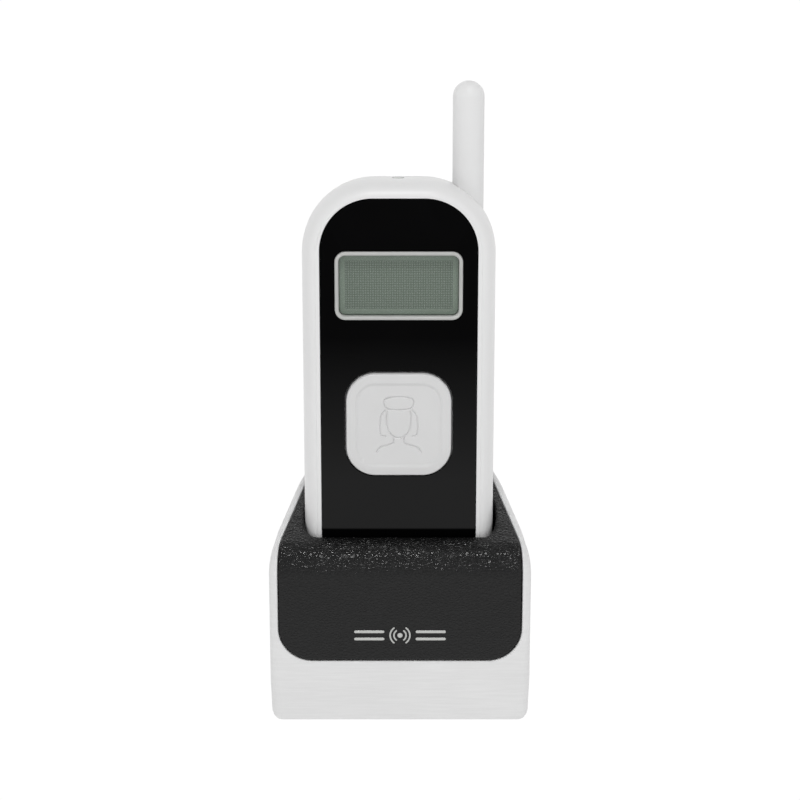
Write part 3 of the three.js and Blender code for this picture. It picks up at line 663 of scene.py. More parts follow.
def turned(skin, profile, centre, axis="z", sides=56):
    """Turns [radius, height] pairs about an axis. A radius of zero closes the end."""
    rings = []
    tips = []
    for radius, height in profile:
        points = []
        for k in range(sides):
            turn = 2 * math.pi * k / sides
            across, along = radius * math.cos(turn), radius * math.sin(turn)
            if axis == "z":
                points.append((centre[0] + across, centre[1] + along, height))
            else:
                points.append((centre[0] + across, height, centre[1] + along))
        if radius > 0:
            rings.append(skin.ring(points))
        else:
            tips.append(points[0])
    skin.bands(*rings)
    if len(tips) == 2:
        skin.fan(rings[0], tips[0])
        skin.fan(rings[-1], tips[1])
    else:
        skin.bands(rings[-1], rings[0])


def rod(skin, radius, low, high, centre, axis="z", sides=56):
    turned(skin, [(0, low), (radius, low), (radius, high), (0, high)], centre, axis, sides)


def arc(centre, radius, start, end, steps=6):
    """Profile points on a quarter or other arc, angles in degrees."""
    angles = [math.radians(start + (end - start) * k / steps) for k in range(steps + 1)]
    return [(centre[0] + radius * math.cos(a), centre[1] + radius * math.sin(a)) for a in angles]


# ---- Handset pieces ----

def front_shell():
    skin = Skin()
    last = PARTING - PARTING_GAP / 2
    turn_end = math.acos((RIM_DEPTH - last + EDGE) / (RIM_DEPTH - LIP_STEP))
    rim = []
    for k in range(RIM_STEPS + 1):
        turn = turn_end * k / RIM_STEPS
        inset = RIM_INSET * (1 - math.sin(turn))
        depth = RIM_DEPTH - (RIM_DEPTH - LIP_STEP) * math.cos(turn)
        rim.append(at_depth(skin, handset_outline(inset), depth))
    recess = at_depth(skin, panel_outline(PANEL_GAP), PANEL_RECESS)
    steps = ((PANEL_GAP, EDGE), (PANEL_GAP + EDGE / 3, EDGE / 3), (PANEL_GAP + EDGE, 0))
    lip = stepped(skin, panel_outline, *steps)
    steps = ((EDGE * 1.3, 0), (EDGE * 0.6, EDGE / 3), (EDGE * 0.3, LIP_STEP * 0.8))
    lip += stepped(skin, handset_outline, *((RIM_INSET + margin, depth) for margin, depth in steps))
    parting = stepped(skin, handset_outline, (outer_inset(last) + EDGE, last), (WALL, last))
    depths = np.linspace(last, INNER_FRONT, 7)[1:]
    inside = stepped(skin, handset_outline, *((inner_inset(depth), depth) for depth in depths))
    skin.bands(recess, *lip, *rim, *parting, *inside)
    holes = []
    for points in (display_outline(-DISPLAY_LEDGE), button_outline(BUTTON_CLEARANCE)):
        walls = [at_depth(skin, points, depth) for depth in (PANEL_RECESS, INNER_FRONT)]
        skin.bands(*walls)
        holes.append(walls)
    skin.fill(recess, holes[0][0], holes[1][0])
    skin.fill(inside[-1], holes[0][1], holes[1][1])
    add_piece("front_shell_moulding", skin.mesh, "handset", "white_shell", ["front_shell"])


def rear_shell():
    skin = Skin()
    first = PARTING + PARTING_GAP / 2
    inner_depths = [*np.linspace(INNER_BACK, DEPTH - RIM_DEPTH, 7), first]
    inside = stepped(skin, handset_outline, *((inner_inset(depth), depth) for depth in inner_depths))
    steps = ((outer_inset(first) + EDGE, first), (outer_inset(first + EDGE), first + EDGE), (0, RIM_DEPTH))
    rim = stepped(skin, handset_outline, *steps)
    for k in range(RIM_STEPS + 1):
        turn = math.pi / 2 * k / RIM_STEPS
        depth = DEPTH - RIM_DEPTH + RIM_DEPTH * math.sin(turn)
        rim.append(at_depth(skin, handset_outline(RIM_INSET * (1 - math.cos(turn))), depth))
    skin.bands(*inside, *rim)
    outer_holes = []
    inner_holes = []
    for i in range(1, 5):
        low, high = box_mm(f"case_screw_{i}")
        x, z = (low[0] + high[0]) / 2 - SEAT_X, (low[2] + high[2]) / 2 - SEAT_Z
        seat = high[1] - SEAT_Y - SCREW_HEAD
        profile = [(2.75, DEPTH), (2.55, DEPTH - 0.06), (SCREW_CUP, DEPTH - 0.25), (SCREW_CUP, seat)]
        cup = bore(skin, x, z, profile)
        skin.fill(cup[-1])
        outer_holes.append(cup[0])
        post = bore(skin, x, z, [(SCREW_POST, INNER_BACK), (SCREW_POST, seat - SCREW_FLOOR)])
        skin.fill(post[-1])
        inner_holes.append(post[0])
    places = [(0, SOUND_Z)]
    for k in range(6):
        turn = math.radians(60 * k)
        places.append((SOUND_RING * math.cos(turn), SOUND_Z + SOUND_RING * math.sin(turn)))
    for x, z in places:
        profile = [(0.98, DEPTH), (0.84, DEPTH - 0.06)]
        profile += [(SOUND_HOLE, DEPTH - 0.22), (SOUND_HOLE, INNER_BACK)]
        tunnel = bore(skin, x, z, profile, 20)
        outer_holes.append(tunnel[0])
        inner_holes.append(tunnel[-1])
    steps = [(0.35, DEPTH), (0.2, DEPTH - 0.08)]
    steps += [(COVER_GAP, DEPTH - 0.25), (COVER_GAP, DEPTH - COVER_RECESS)]
    recess = stepped(skin, cover_outline, *steps)
    skin.bands(*recess)
    skin.fill(recess[-1])
    skin.fill(rim[-1], *outer_holes, recess[0])
    skin.fill(inside[0], *inner_holes)
    shell = add_piece("rear_shell_moulding", skin.mesh, "handset", "white_shell", ["rear_shell"])
    cutter = Skin()
    rod(cutter, SLEEVE_RADIUS + SLEEVE_GAP, sleeve_low[2], sleeve_high[2], SLEEVE_PLACE)
    rod(cutter, LENS_RADIUS + LENS_GAP, light_low[2], light_high[2] + CUT_PAST, LENS_PLACE)
    for side in ("left", "right"):
        low, high = box_mm(f"charge_pad_{side}")
        place = (low + high) / 2
        rod(cutter, PAD_HOLE, low[2] - CUT_PAST, low[2] + PAD_HOLE_TOP, place[:2], sides=40)
    bmesh.ops.recalc_face_normals(cutter.mesh, faces=cutter.mesh.faces)
    data = bpy.data.meshes.new("cutter")
    cutter.mesh.to_mesh(data)
    tool = link("cutter", data)
    shell.modifiers.clear()
    cut = shell.modifiers.new("Holes", "BOOLEAN")
    cut.object = tool
    cut.solver = "EXACT"
    applied(shell)
    bpy.data.objects.remove(tool)
    shade_smooth(shell.data, SHARP_ANGLE)
    weight_normals(shell)


def rounded_rim(skin, shape, radius, face, inward):
    """Rings round a face's edge. Inward is 1 for a face that looks forwards, or -1."""
    steps = []
    for turn in np.linspace(0, math.pi / 2, 6):
        steps.append((radius * (math.cos(turn) - 1), face + inward * radius * (1 - math.sin(turn))))
    return stepped(skin, shape, *steps)


def front_panel():
    skin = Skin()
    rim = rounded_rim(skin, panel_outline, PANEL_EDGE, PANEL_FACE, 1)
    back = at_depth(skin, panel_outline(0), PANEL_BACK)
    skin.bands(back, *rim)
    fronts = []
    backs = []
    for shape, gap in ((display_outline, PANEL_GAP), (button_outline, BUTTON_CLEARANCE)):
        steps = [(gap + 0.18, PANEL_FACE), (gap + 0.06, PANEL_FACE + 0.05)]
        hole = stepped(skin, shape, *steps, (gap, PANEL_FACE + 0.18), (gap, PANEL_BACK))
        skin.bands(*hole)
        fronts.append(hole[0])
        backs.append(hole[-1])
    skin.fill(rim[-1], *fronts)
    skin.fill(back, *backs)
    add_piece("front_panel_gloss", skin.mesh, "handset", "panel_black", ["front_panel"])


def display_parts():
    skin = Skin()
    crown = []
    for k in range(11):
        turn = math.pi * k / 10
        margin = -BEZEL_WIDTH / 2 * (1 - math.cos(turn))
        depth = BEZEL_SHOULDER + (BEZEL_FACE - BEZEL_SHOULDER) * math.sin(turn) ** 0.7
        crown.append(at_depth(skin, display_outline(margin), depth))
    feet = stepped(skin, display_outline, (0, PANEL_BACK), (-BEZEL_WIDTH, PANEL_BACK))
    skin.bands(feet[0], *crown, feet[1], feet[0])
    add_piece("display_frame", skin.mesh, "handset", "silver_trim", ["display_bezel"], 50)

    skin = Skin()
    inner = -BEZEL_WIDTH - 0.1
    steps = ((inner - 0.12, WINDOW_FRONT), (inner, WINDOW_FRONT + 0.12), (inner, WINDOW_BACK))
    skin.closed(*stepped(skin, display_outline, *steps))
    add_piece("display_window_pane", skin.mesh, "handset", "clear_window", ["display_window"])

    skin = Skin()
    steps = [(inner - 0.1, LCD_FRONT), (inner, LCD_FRONT + 0.1), (inner, LCD_FRAME - 0.1)]
    steps += [(LCD_FRAME_OUT, LCD_FRAME), (LCD_FRAME_OUT, LCD_BACK)]
    skin.closed(*stepped(skin, display_outline, *steps))
    add_piece("display_module", skin.mesh, "handset", "lcd_grey", ["lcd_module"])


def curve(points, steps=10):
    """A smooth line through points, as short straight pieces."""
    padded = [points[0], *points, points[-1]]
    line = []
    for i in range(1, len(points)):
        a, b, c, d = (np.array(point, float) for point in padded[i - 1 : i + 3])
        for k in range(steps):
            t = k / steps
            square = (2 * a - 5 * b + 4 * c - d) * t**2
            cube = (3 * b - a - 3 * c + d) * t**3
            line.append(0.5 * (2 * b + (c - a) * t + square + cube))
    line.append(np.array(points[-1], float))
    return np.array(line)


def attendant_lines():
    """A plain attendant: a flat cap, a bob, a bare oval face and shoulders. Right half, in millimetres."""
    half = [
        [(0, 4.4), (2.0, 4.5), (3.6, 4.9)],
        [(3.6, 4.9), (4.2, 6.1), (4.1, 7.3), (3.2, 7.9), (1.6, 8.2), (0, 8.25)],
        [(3.8, 4.4), (4.9, 3.0), (5.3, 0.9), (5.4, -1.4), (5.0, -3.0), (3.9, -3.3)],
        [(3.3, 4.0), (3.5, 2.2), (3.4, 0.2), (2.9, -1.7), (1.9, -3.1), (0.9, -3.7), (0, -3.85)],
        [(1.5, -3.9), (1.6, -5.2), (3.2, -6.0), (5.2, -6.6), (6.3, -7.9)],
    ]
    lines = []
    for points in half:
        line = curve(points)
        lines.append(line)
        lines.append(line * np.array([-1, 1]))
    return lines


def distance_to_lines(x, z, lines):
    nearest = np.full(x.shape, 1e3)
    for line in lines:
        for (ax, az), (bx, bz) in zip(line[:-1], line[1:]):
            dx, dz = bx - ax, bz - az
            length = dx * dx + dz * dz
            along = np.clip(((x - ax) * dx + (z - az) * dz) / max(length, 1e-9), 0, 1)
            nearest = np.minimum(nearest, np.hypot(x - ax - along * dx, z - az - along * dz))
    return nearest


def smooth_step(value, low, high):
    t = np.clip((value - low) / (high - low), 0, 1)
    return t * t * (3 - 2 * t)


def button_spread(fine_reach):
    """Grid lines from -1 to 1: close together over the engraving and over the bevel."""
    fine = np.linspace(0, fine_reach, int(fine_reach / FINE_STEP))
    middle = np.linspace(fine_reach, EDGE_FROM, 8)[1:]
    edge = 1 - (1 - EDGE_FROM) * np.cos(np.linspace(0, math.pi / 2, 22))[1:]
    half = np.concatenate([fine, middle, edge])
    return np.concatenate([-half[::-1], half[1:]])


def call_button():
    u, v = np.meshgrid(button_spread(FINE_REACH_X), button_spread(FINE_REACH_Z), indexing="ij")
    length = np.maximum(np.hypot(u, v), 1e-9)
    largest = np.maximum(np.abs(u), np.abs(v))
    du, dv = np.abs(u) / length, np.abs(v) / length
    core = BUTTON_HALF - BUTTON_ROUND
    flat = BUTTON_HALF / np.maximum(np.maximum(du, dv), 1e-9)
    along = (du + dv) * core
    round_reach = along + np.sqrt(np.maximum(along**2 - 2 * core**2 + BUTTON_ROUND**2, 0))
    reach = np.where(flat * np.minimum(du, dv) <= core, flat, round_reach)
    scale = np.where(largest > 0, reach * largest / length, 0)
    x, z = u * scale, v * scale
    qx, qz = np.abs(x) - core, np.abs(z) - core
    outside = np.hypot(np.maximum(qx, 0), np.maximum(qz, 0)) + np.minimum(np.maximum(qx, qz), 0)
    inset = np.maximum(BUTTON_ROUND - outside, 0)
    edge = np.sqrt(np.maximum(1 - (1 - np.clip(inset / LIP, 0, 1)) ** 2, 0))
    foot = -BUTTON_FACE - (LIP_RISE + BEVEL_RISE)
    height = foot + LIP_RISE * edge + BEVEL_RISE * smooth_step(inset, 0.0, BEVEL)
    sag = DISH_SAG * smooth_step(inset, DISH_TO, DISH_MIDDLE)
    height -= DISH_DEPTH * smooth_step(inset, DISH_FROM, DISH_TO) + sag
    engraved = distance_to_lines(x, z, attendant_lines())
    height -= GROOVE_DEPTH * np.exp(-((engraved / GROOVE_HALF) ** 2))
    skin = Skin()
    rows, columns = x.shape
    middle = SEAT_Z + BUTTON_Z
    grid = []
    for i in range(rows):
        line = zip(SEAT_X + x[i], SEAT_Y - height[i], middle + z[i])
        grid.append(skin.ring(line))
    for i in range(rows - 1):
        for j in range(columns - 1):
            skin.mesh.faces.new((grid[i][j], grid[i + 1][j], grid[i + 1][j + 1], grid[i][j + 1]))
    border = [grid[i][0] for i in range(rows)]
    border += [grid[-1][j] for j in range(1, columns)]
    border += [grid[i][-1] for i in range(rows - 2, -1, -1)]
    border += [grid[0][j] for j in range(columns - 2, 0, -1)]
    places = [(vert.co.x / MM - SEAT_X, vert.co.z / MM - middle) for vert in border]

    def past_core(value):
        return math.copysign(max(abs(value) - core, 0), value)

    def level(margin, depth):
        """The border again, grown by a margin, at a depth."""
        points = []
        for px, pz in places:
            across, up = past_core(px), past_core(pz)
            size = math.hypot(across, up)
            point_x, point_z = px + margin * across / size, pz + margin * up / size
            points.append((SEAT_X + point_x, SEAT_Y + depth, middle + point_z))
        return skin.ring(points)

    walls = [level(0, FLANGE_FRONT - 0.1), level(0.15, FLANGE_FRONT)]
    walls += [level(BUTTON_FLANGE, FLANGE_FRONT), level(BUTTON_FLANGE, BUTTON_BACK)]
    walls += [level(-BUTTON_WALL, BUTTON_BACK), level(-BUTTON_WALL, BUTTON_INSIDE)]
    skin.bands(border, *walls)
    skin.fill(walls[-1])
    start, end = SEAT_Y + BUTTON_INSIDE - 0.3, SEAT_Y + STUD_END
    rod(skin, STUD_RADIUS, start, end, (SEAT_X, middle), "y")
    add_piece("call_button_cap", skin.mesh, "call_button", "button_grey", ["call_button"], 60)


def antenna():
    skin = Skin()
    top = sleeve_high[2]
    dome_centre = (0, top - SLEEVE_RADIUS)
    dome = arc(dome_centre, SLEEVE_RADIUS, 0, 90, 16)[:-1]
    levels = np.linspace(sleeve_low[2] + 0.4, top - SLEEVE_RADIUS, 9)[:-1]
    profile = [(0, sleeve_low[2]), (SLEEVE_RADIUS - 0.4, sleeve_low[2])]
    profile += [(SLEEVE_RADIUS, level) for level in levels] + dome + [(0, top)]
    turned(skin, profile, SLEEVE_PLACE, sides=72)
    add_piece("antenna_cover", skin.mesh, "handset", "white_shell", ["antenna_sleeve"], 60, "antenna_white")


def dome(radius, base, rise, last, count):
    """Profile points over a dome, up to an angle short of its tip."""
    turns = np.linspace(0.2, last, count)
    return [(radius * math.cos(turn), base + rise * math.sin(turn)) for turn in turns]


def status_light():
    skin = Skin()
    base, top = light_low[2], light_high[2]
    shoulder = top - LENS_DOME
    profile = [(0, base), (LENS_RADIUS, base), (LENS_RADIUS, shoulder)]
    profile += dome(LENS_RADIUS, shoulder, LENS_DOME, 1.4, 7)
    turned(skin, [*profile, (0, top)], LENS_PLACE, sides=40)
    add_piece("status_lens", skin.mesh, "handset", "light_lens", ["status_light"], 60)


def battery_cover():
    skin = Skin()
    rings = rounded_rim(skin, cover_outline, COVER_EDGE, DEPTH, -1)
    back = at_depth(skin, cover_outline(0), cover_low[1] - SEAT_Y)
    place = middle_mm("battery_cover_screw")
    x, z = place[0] - SEAT_X, place[2] - SEAT_Z
    sink = [(2.3, DEPTH), (2.1, DEPTH - 0.1), (2.0, DEPTH - 0.3), (2.0, DEPTH - 1.0)]
    skin.bands(back, *rings)
    cup = bore(skin, x, z, sink)
    skin.fill(cup[-1])
    grips = []
    for k in range(GRIP_COUNT):
        centre = cover_low[2] - SEAT_Z + GRIP_FIRST + GRIP_PITCH * k
        groove = []
        for inset, depth in ((0, DEPTH), (0.12, DEPTH - 0.12), (0.3, DEPTH - 0.35)):
            low, high = centre - GRIP_HALF_WIDTH + inset, centre + GRIP_HALF_WIDTH - inset
            radius = GRIP_HALF_WIDTH - inset * 0.98
            points = outline(GRIP_HALF_LENGTH - inset, low, high, radius, steps=6)
            groove.append(at_depth(skin, points, depth))
        skin.bands(*groove)
        skin.fill(groove[-1])
        grips.append(groove[0])
    skin.fill(rings[-1], cup[0], *grips)
    skin.fill(back)
    add_piece("battery_door", skin.mesh, "handset", "white_shell", ["battery_cover"])


# ---- Cradle forms as distance fields, negative inside ----

def round_meet(a, b, radius):
    """The overlap of two forms, with its edge rounded."""
    past = np.hypot(np.maximum(a + radius, 0), np.maximum(b + radius, 0))
    return np.minimum(np.maximum(a, b), -radius) + past


def cradle_sides(x, y):
    """The tapering side walls and the back, rounded where they meet."""
    touch_x = CRADLE_HALF - PLAN_CORNER * (1 - math.cos(CRADLE_TAPER)) - SIDE_DRAW
    touch_y = CRADLE_FRONT + PLAN_CORNER * (1 + math.sin(CRADLE_TAPER))
    side = touch_x - (y - touch_y) * math.tan(CRADLE_TAPER)
    return round_meet((np.abs(x) - side) * math.cos(CRADLE_TAPER), y - CRADLE_REAR, BACK_CORNER)


def cradle_face(y, z):
    """The upright front, rounded into the sloping top."""
    dy, dz = y - (CRADLE_FRONT + FRONT_ROUND), z - FRONT_TOP
    sine, cosine = math.sin(CRADLE_SLOPE), math.cos(CRADLE_SLOPE)
    front = -dy - FRONT_ROUND
    top = -dy * sine + dz * cosine - FRONT_ROUND
    in_round = (dz > 0) & (dy * cosine + dz * sine < 0)
    return np.where(in_round, np.hypot(dy, dz) - FRONT_ROUND, np.maximum(front, top))


def cradle_block(x, y, z):
    edge = PLAN_CORNER - FRONT_EDGE[0] * smooth_step(y, *FRONT_EDGE[1:])
    edge = edge + BACK_EDGE[0] * smooth_step(y, *BACK_EDGE[1:])
    edge = edge + FOOT_EDGE[0] * (1 - smooth_step(z, *FOOT_EDGE[1:]))
    profile = round_meet(cradle_face(y, z), CRADLE_BOTTOM - z, FOOT_ROUND)
    return round_meet(cradle_sides(x, y), profile, edge)


def insert_region(x, y, z):
    across = round_meet(np.abs(x) - INSERT_HALF, cradle_sides(x, y) + CRADLE_WALL, INSERT_SIDE_EDGE)
    return round_meet(across, INSERT_BOTTOM - z, INSERT_CORNER)


def handset_section(x, y):
    """The handset seen from above: straight runs joined by quarter ellipses."""
    dx = np.maximum(np.abs(x) - (HALF_WIDTH - RIM_INSET), 0)
    dy = np.maximum(np.abs(y - SEAT_Y - DEPTH / 2) - (DEPTH / 2 - RIM_DEPTH), 0)
    reach_x, reach_y = RIM_INSET + POCKET_CLEARANCE, RIM_DEPTH + POCKET_CLEARANCE
    q = np.maximum(np.hypot(dx / reach_x, dy / reach_y), 1e-4)
    slope = np.maximum(np.hypot(dx / reach_x**2, dy / reach_y**2) / q, 1 / reach_y)
    return (q - 1) / slope


def cradle_shell_field(x, y, z):
    block = cradle_block(x, y, z)
    cavity = np.maximum(block + CRADLE_WALL, RIM_TOP - z)
    plan = np.maximum(cradle_sides(x, y), CRADLE_FRONT - y)
    mouth = np.maximum(plan + MOUTH_INSET, z - RIM_TOP - 1)
    shell = round_meet(np.maximum(block, -cavity), -(insert_region(x, y, z) - INSERT_SEAM), SHELL_EDGE)
    shell = round_meet(shell, -mouth, MOUTH_LIP)
    tunnel = np.maximum(np.hypot(x, z - SOCKET_Z) - SOCKET_HOLE, SOCKET_HOLE_FROM - y)
    return round_meet(shell, -tunnel, SOCKET_HOLE_LIP)


def cradle_insert_field(x, y, z):
    block = cradle_block(x, y, z)
    skin = round_meet(block + INSERT_SUNK, insert_region(x, y, z) + INSERT_SEAM, INSERT_EDGE)
    skin = np.maximum(skin, -(block + INSERT_SKIN))
    section = handset_section(x, y)
    well = np.maximum(np.maximum(section - WALL, POCKET_FLOOR - WALL - z), block + WELL_SUNK)
    pocket = np.maximum(section, POCKET_FLOOR - z)
    lip = POCKET_LIP + POCKET_LIP_FRONT * (1 - smooth_step(y, *POCKET_LIP_CHANGE))
    whole = round_meet(np.minimum(skin, well), -pocket, lip)
    for side in ("left", "right"):
        place = middle_mm(f"contact_pin_{side}")
        whole = np.maximum(whole, PIN_HOLE - np.hypot(x - place[0], y - place[1]))
    return whole


def gradient(field, points, step=0.02):
    columns = []
    for axis in range(3):
        shift = np.zeros(3)
        shift[axis] = step
        ahead, behind = points + shift, points - shift
        columns.append((field(*ahead.T) - field(*behind.T)) / (2 * step))
    return np.stack(columns, axis=1)


def settle(field, points, rounds=4):
    """Moves points onto the field's zero surface."""
    for _ in range(rounds):
        slope = gradient(field, points)
        size = np.maximum((slope**2).sum(axis=1), 0.2)
        move = slope * (field(*points.T) / size)[:, None]
        length = np.maximum(np.linalg.norm(move, axis=1), 1e-9)
        points = points - move * np.minimum(1, LONGEST_MOVE / length)[:, None]
    return points


def net(field, low, high, cell):
    """A closed mesh of quads on the field's zero surface."""
    axes = [np.arange(a - 2 * cell, b + 3 * cell, cell) for a, b in zip(low, high)]
    x, y, z = np.meshgrid(*axes, indexing="ij")
    values = field(x, y, z)
    inside = values < 0
    corners = [(i, j, k) for i in (0, 1) for j in (0, 1) for k in (0, 1)]
    shape = np.array(values.shape) - 1

    def corner_of(array, corner):
        return array[tuple(slice(c, c + n) for c, n in zip(corner, shape))]

    count = sum(corner_of(inside, corner).astype(np.int8) for corner in corners)
    active = (count > 0) & (count < 8)
    number = np.full(active.shape, -1, np.int64)
    number[active] = np.arange(active.sum())
    cells = np.argwhere(active)
    total = np.zeros((len(cells), 3))
    hits = np.zeros(len(cells))
    sampled = {corner: corner_of(values, corner)[active] for corner in corners}
    for first in corners:
        for axis in range(3):
            if first[axis]:
                continue
            second = tuple(1 if n == axis else c for n, c in enumerate(first))
            a, b = sampled[first], sampled[second]
            crossing = (a < 0) != (b < 0)
            share = np.where(crossing, a / np.where(crossing, a - b, 1), 0)
            point = np.array(first, float) + share[:, None] * np.eye(3)[axis]
            total += point * crossing[:, None]
            hits += crossing
    start = np.array([axis[0] for axis in axes])
    points = start + (cells + total / hits[:, None]) * cell
    quads = []
    for axis in range(3):
        others = [n for n in range(3) if n != axis]
        first = [slice(1, -1)] * 3
        second = [slice(1, -1)] * 3
        first[axis] = slice(0, -1)
        second[axis] = slice(1, None)
        a, b = inside[tuple(first)], inside[tuple(second)]
        places = np.argwhere(a != b)
        leaving = a[tuple(places.T)]
        base = places.copy()
        base[:, others] += 1
        around = []
        for du, dv in ((-1, -1), (0, -1), (0, 0), (-1, 0)):
            spot = base.copy()
            spot[:, others[0]] += du
            spot[:, others[1]] += dv
            around.append(number[tuple(spot.T)])
        quad = np.stack(around, axis=1)
        flip = leaving if axis != 1 else ~leaving
        quads.append(np.where(flip[:, None], quad, quad[:, ::-1]))
    return points, np.concatenate(quads)


def field_mesh(name, field, low, high, keep):
    """Meshes a field, thins it where it is flat, and shades it by the field's own slope."""
    points, quads = net(field, low, high, NET_CELL)
    points = settle(field, points)
    data = bpy.data.meshes.new(name)
    data.from_pydata((points * MM).tolist(), [], quads.tolist())
    data.validate()
    holder = link(name + "_draft", data)
    thin = holder.modifiers.new("Thin", "DECIMATE")
    thin.ratio = keep
    applied(holder)
    thinned = holder.data
    bpy.data.objects.remove(holder)
    thinned.name = name
    places = np.zeros(len(thinned.vertices) * 3)
    thinned.vertices.foreach_get("co", places)
    places = settle(field, places.reshape(-1, 3) / MM, 2)
    thinned.vertices.foreach_set("co", (places * MM).ravel())
    thinned.shade_smooth()
    slopes = gradient(field, places)
    slopes /= np.maximum(np.linalg.norm(slopes, axis=1), 1e-9)[:, None]
    thinned.normals_split_custom_set_from_vertices(slopes.tolist())
    thinned.update()
    return thinned


def cradle_shell():
    mesh = field_mesh("cradle_body", cradle_shell_field, shell_low, shell_high, 0.25)
    add_piece("cradle_body", mesh, "cradle", "white_shell", ["cradle_shell"], 0, "cradle_white")


def cradle_insert():
    mesh = field_mesh("cradle_inlay", cradle_insert_field, insert_low, insert_high, 0.3)
    add_piece("cradle_inlay", mesh, "cradle", "insert_black", ["cradle_insert"], 0)


# ---- Small cradle pieces ----

def stroke(skin, line, half_width):
    """A raised line with round ends and softened edges, let into the insert's face."""
    front = badge_low[1]
    middle = (badge_low[2] + badge_high[2]) / 2
    line = np.array(line, float)
    along = np.gradient(line, axis=0)
    along /= np.linalg.norm(along, axis=1)[:, None]
    across = np.stack([-along[:, 1], along[:, 0]], axis=1)

    def contour(half):
        points = [line + across * half, (line - across * half)[::-1]]
        caps = []
        for end, direction, side in ((line[-1], along[-1], across[-1]), (line[0], -along[0], -across[0])):
            turns = np.linspace(0, math.pi, 9)[1:-1]
            cap = [end + half * (math.cos(t) * side + math.sin(t) * direction) for t in turns]
            caps.append(np.array(cap))
        return np.concatenate([points[0], caps[0], points[1], caps[1]])

    bevel = 0.1
    levels = ((half_width, front + MARK_DEPTH), (half_width, front + bevel), (half_width - bevel, front))
    skin.closed(*(skin.ring([(x, y, middle + z) for x, z in contour(half)]) for half, y in levels))


def cradle_mark():
    """A generic radio-call sign: a dot between pairs of arcs, with a pair of bars on each side."""
    skin = Skin()
    stroke(skin, [(-0.05, 0), (0.05, 0)], MARK_DOT)
    for radius in ARC_RADII:
        for side in (0, 180):
            turns = np.radians(np.linspace(side - ARC_SPREAD, side + ARC_SPREAD, 19))
            stroke(skin, [(radius * math.cos(t), radius * math.sin(t)) for t in turns], ARC_HALF)
    for side in (-1, 1):
        for z in (-BAR_Z, BAR_Z):
            ends = np.linspace(side * BAR_START, side * (badge_high[0] - BAR_HALF), 8)
            stroke(skin, [(x, z) for x in ends], BAR_HALF)
    add_piece("cradle_mark", skin.mesh, "cradle", "silver_trim", ["cradle_badge"])


def feet():
    for i in range(1, 5):
        low, high = box_mm(f"foot_{i}")
        radius = (high[0] - low[0]) / 2
        skin = Skin()
        profile = [(0, low[2] + 0.25), (radius - 1.2, low[2] + 0.25), (radius - 0.95, low[2])]
        profile += arc((radius - 0.4, low[2] + 0.4), 0.4, -90, 0) + [(radius, high[2]), (0, high[2])]
        turned(skin, profile, ((low + high) / 2)[:2], sides=44)
        add_piece(f"rubber_foot_{i}", skin.mesh, "cradle", "foot_rubber", [f"foot_{i}"])


def power_socket():
    skin = Skin()
    rear = jack_high[1]
    floor = jack_low[1] + SOCKET_DEPTH
    profile = [(SOCKET_BORE, floor), (SOCKET_BORE, rear - 0.5)]
    profile += [(SOCKET_BORE + 0.2, rear - 0.15), (SOCKET_BORE + 0.35, rear)]
    profile += [(SOCKET_SNOUT - 0.2, rear), (SOCKET_SNOUT, rear - 0.2), (SOCKET_SNOUT, floor - 1)]
    profile += [(SOCKET_CORE, floor - 1), (SOCKET_CORE, floor)]
    turned(skin, profile, (0, SOCKET_Z), "y")
    add_piece("power_socket", skin.mesh, "cradle", "dark_plastic", ["power_jack"])
    skin = Skin()
    radius = (jack_pin_high[0] - jack_pin_low[0]) / 2
    tip = jack_pin_high[1]
    profile = [(0, jack_pin_low[1]), (radius, jack_pin_low[1]), (radius, tip - radius)]
    profile += dome(radius, tip - radius, radius, 1.3, 6)
    turned(skin, [*profile, (0, tip)], (0, SOCKET_Z), "y", 32)
    add_piece("power_socket_pin", skin.mesh, "cradle", "steel", ["power_jack_pin"])


# ---- Inner parts keep their CAD shape ----

def finish_inner_parts():
    """Gives each CAD node its material and its slot."""
    slots = {part["node"]: part["material_slot"] for part in frame["record"]["subparts"]}
    for name, node in frame["nodes"].items():
        slot = slots[name]
        node.data.materials.clear()
        node.data.materials.append(MATERIALS[slot])


# ---- Studio ----

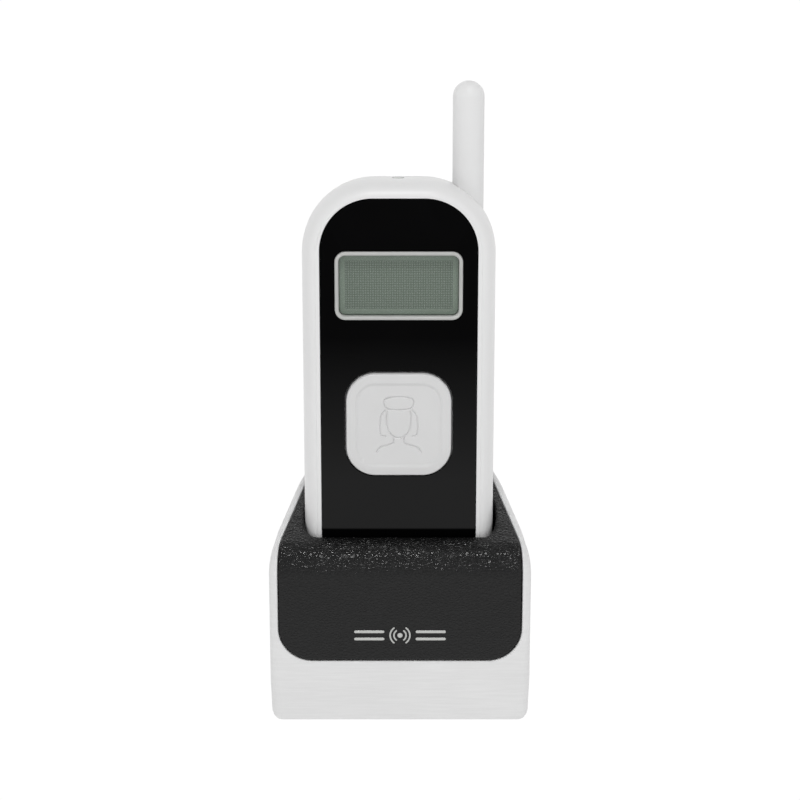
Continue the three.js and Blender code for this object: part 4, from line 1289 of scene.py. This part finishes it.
def stage_floor():
    """An even pale floor that bends up into a backdrop behind."""
    material, tree, shader = new_material("studio_floor")
    inputs = {
        "Emission Strength": FLOOR_GLOW,
        "Emission Color": (1, 1, 1, 1),
        "Base Color": (0, 0, 0, 1),
        "Roughness": 1.0,
        "Specular IOR Level": 0.0,
    }
    feed(tree, shader, inputs)
    bend, back, front, half = 0.6, 2.4, -3.0, 3.0
    profile = [(front, 0), (-1.2, 0), (-0.1, 0), (back - bend, 0)]
    for turn in np.linspace(0.1, math.pi / 2, 12):
        profile.append((back - bend + bend * math.sin(turn), bend - bend * math.cos(turn)))
    profile.append((back, 2.2))
    mesh = bmesh.new()
    rows = [[mesh.verts.new((x, y, z)) for y, z in profile] for x in (-half, half)]
    for i in range(len(profile) - 1):
        mesh.faces.new((rows[0][i], rows[1][i], rows[1][i + 1], rows[0][i + 1]))
    data = bpy.data.meshes.new("studio_floor")
    mesh.to_mesh(data)
    mesh.free()
    data.shade_smooth()
    data.materials.append(material)
    floor = link("studio_floor", data)


def area_light(name, place, target, size, power):
    light = bpy.data.lights.new(name, "AREA")
    light.shape = "RECTANGLE"
    light.size, light.size_y = size
    light.energy = power
    lamp = link(name, light)
    lamp.location = place
    direction = Vector(target) - Vector(place)
    lamp.rotation_euler = direction.to_track_quat("-Z", "Y").to_euler()


def studio():
    stage_floor()
    for name, values in LAMPS.items():
        area_light(name, *values)
    world = bpy.data.worlds.new("studio_world")
    world.use_nodes = True
    tree = world.node_tree
    directions = tree.nodes.new("ShaderNodeTexCoord").outputs["Generated"]
    split = feed(tree, tree.nodes.new("ShaderNodeSeparateXYZ"), {"Vector": directions})
    strength = remap(tree, split.outputs["Z"], 0.15, 0.65, HORIZON_STRENGTH, OVERHEAD_STRENGTH)
    feed(tree, tree.nodes["Background"], {"Strength": strength, "Color": (1, 1, 1, 1)})
    scene = bpy.context.scene
    scene.world = world
    scene.view_settings.view_transform = "Standard"


def camera():
    data = bpy.data.cameras.new("camera")
    data.sensor_width = 36.0
    data.lens = CAMERA_LENS
    data.clip_start = 0.01
    data.clip_end = 20.0
    view = link("camera", data)
    view.location = CAMERA_PLACE
    view.rotation_euler = (CAMERA_TILT, 0, 0)
    bpy.context.scene.camera = view


camera()
studio()
finish_inner_parts()
front_shell()
rear_shell()
front_panel()
display_parts()
call_button()
antenna()
status_light()
battery_cover()
cradle_shell()
cradle_insert()
cradle_mark()
feet()
power_socket()
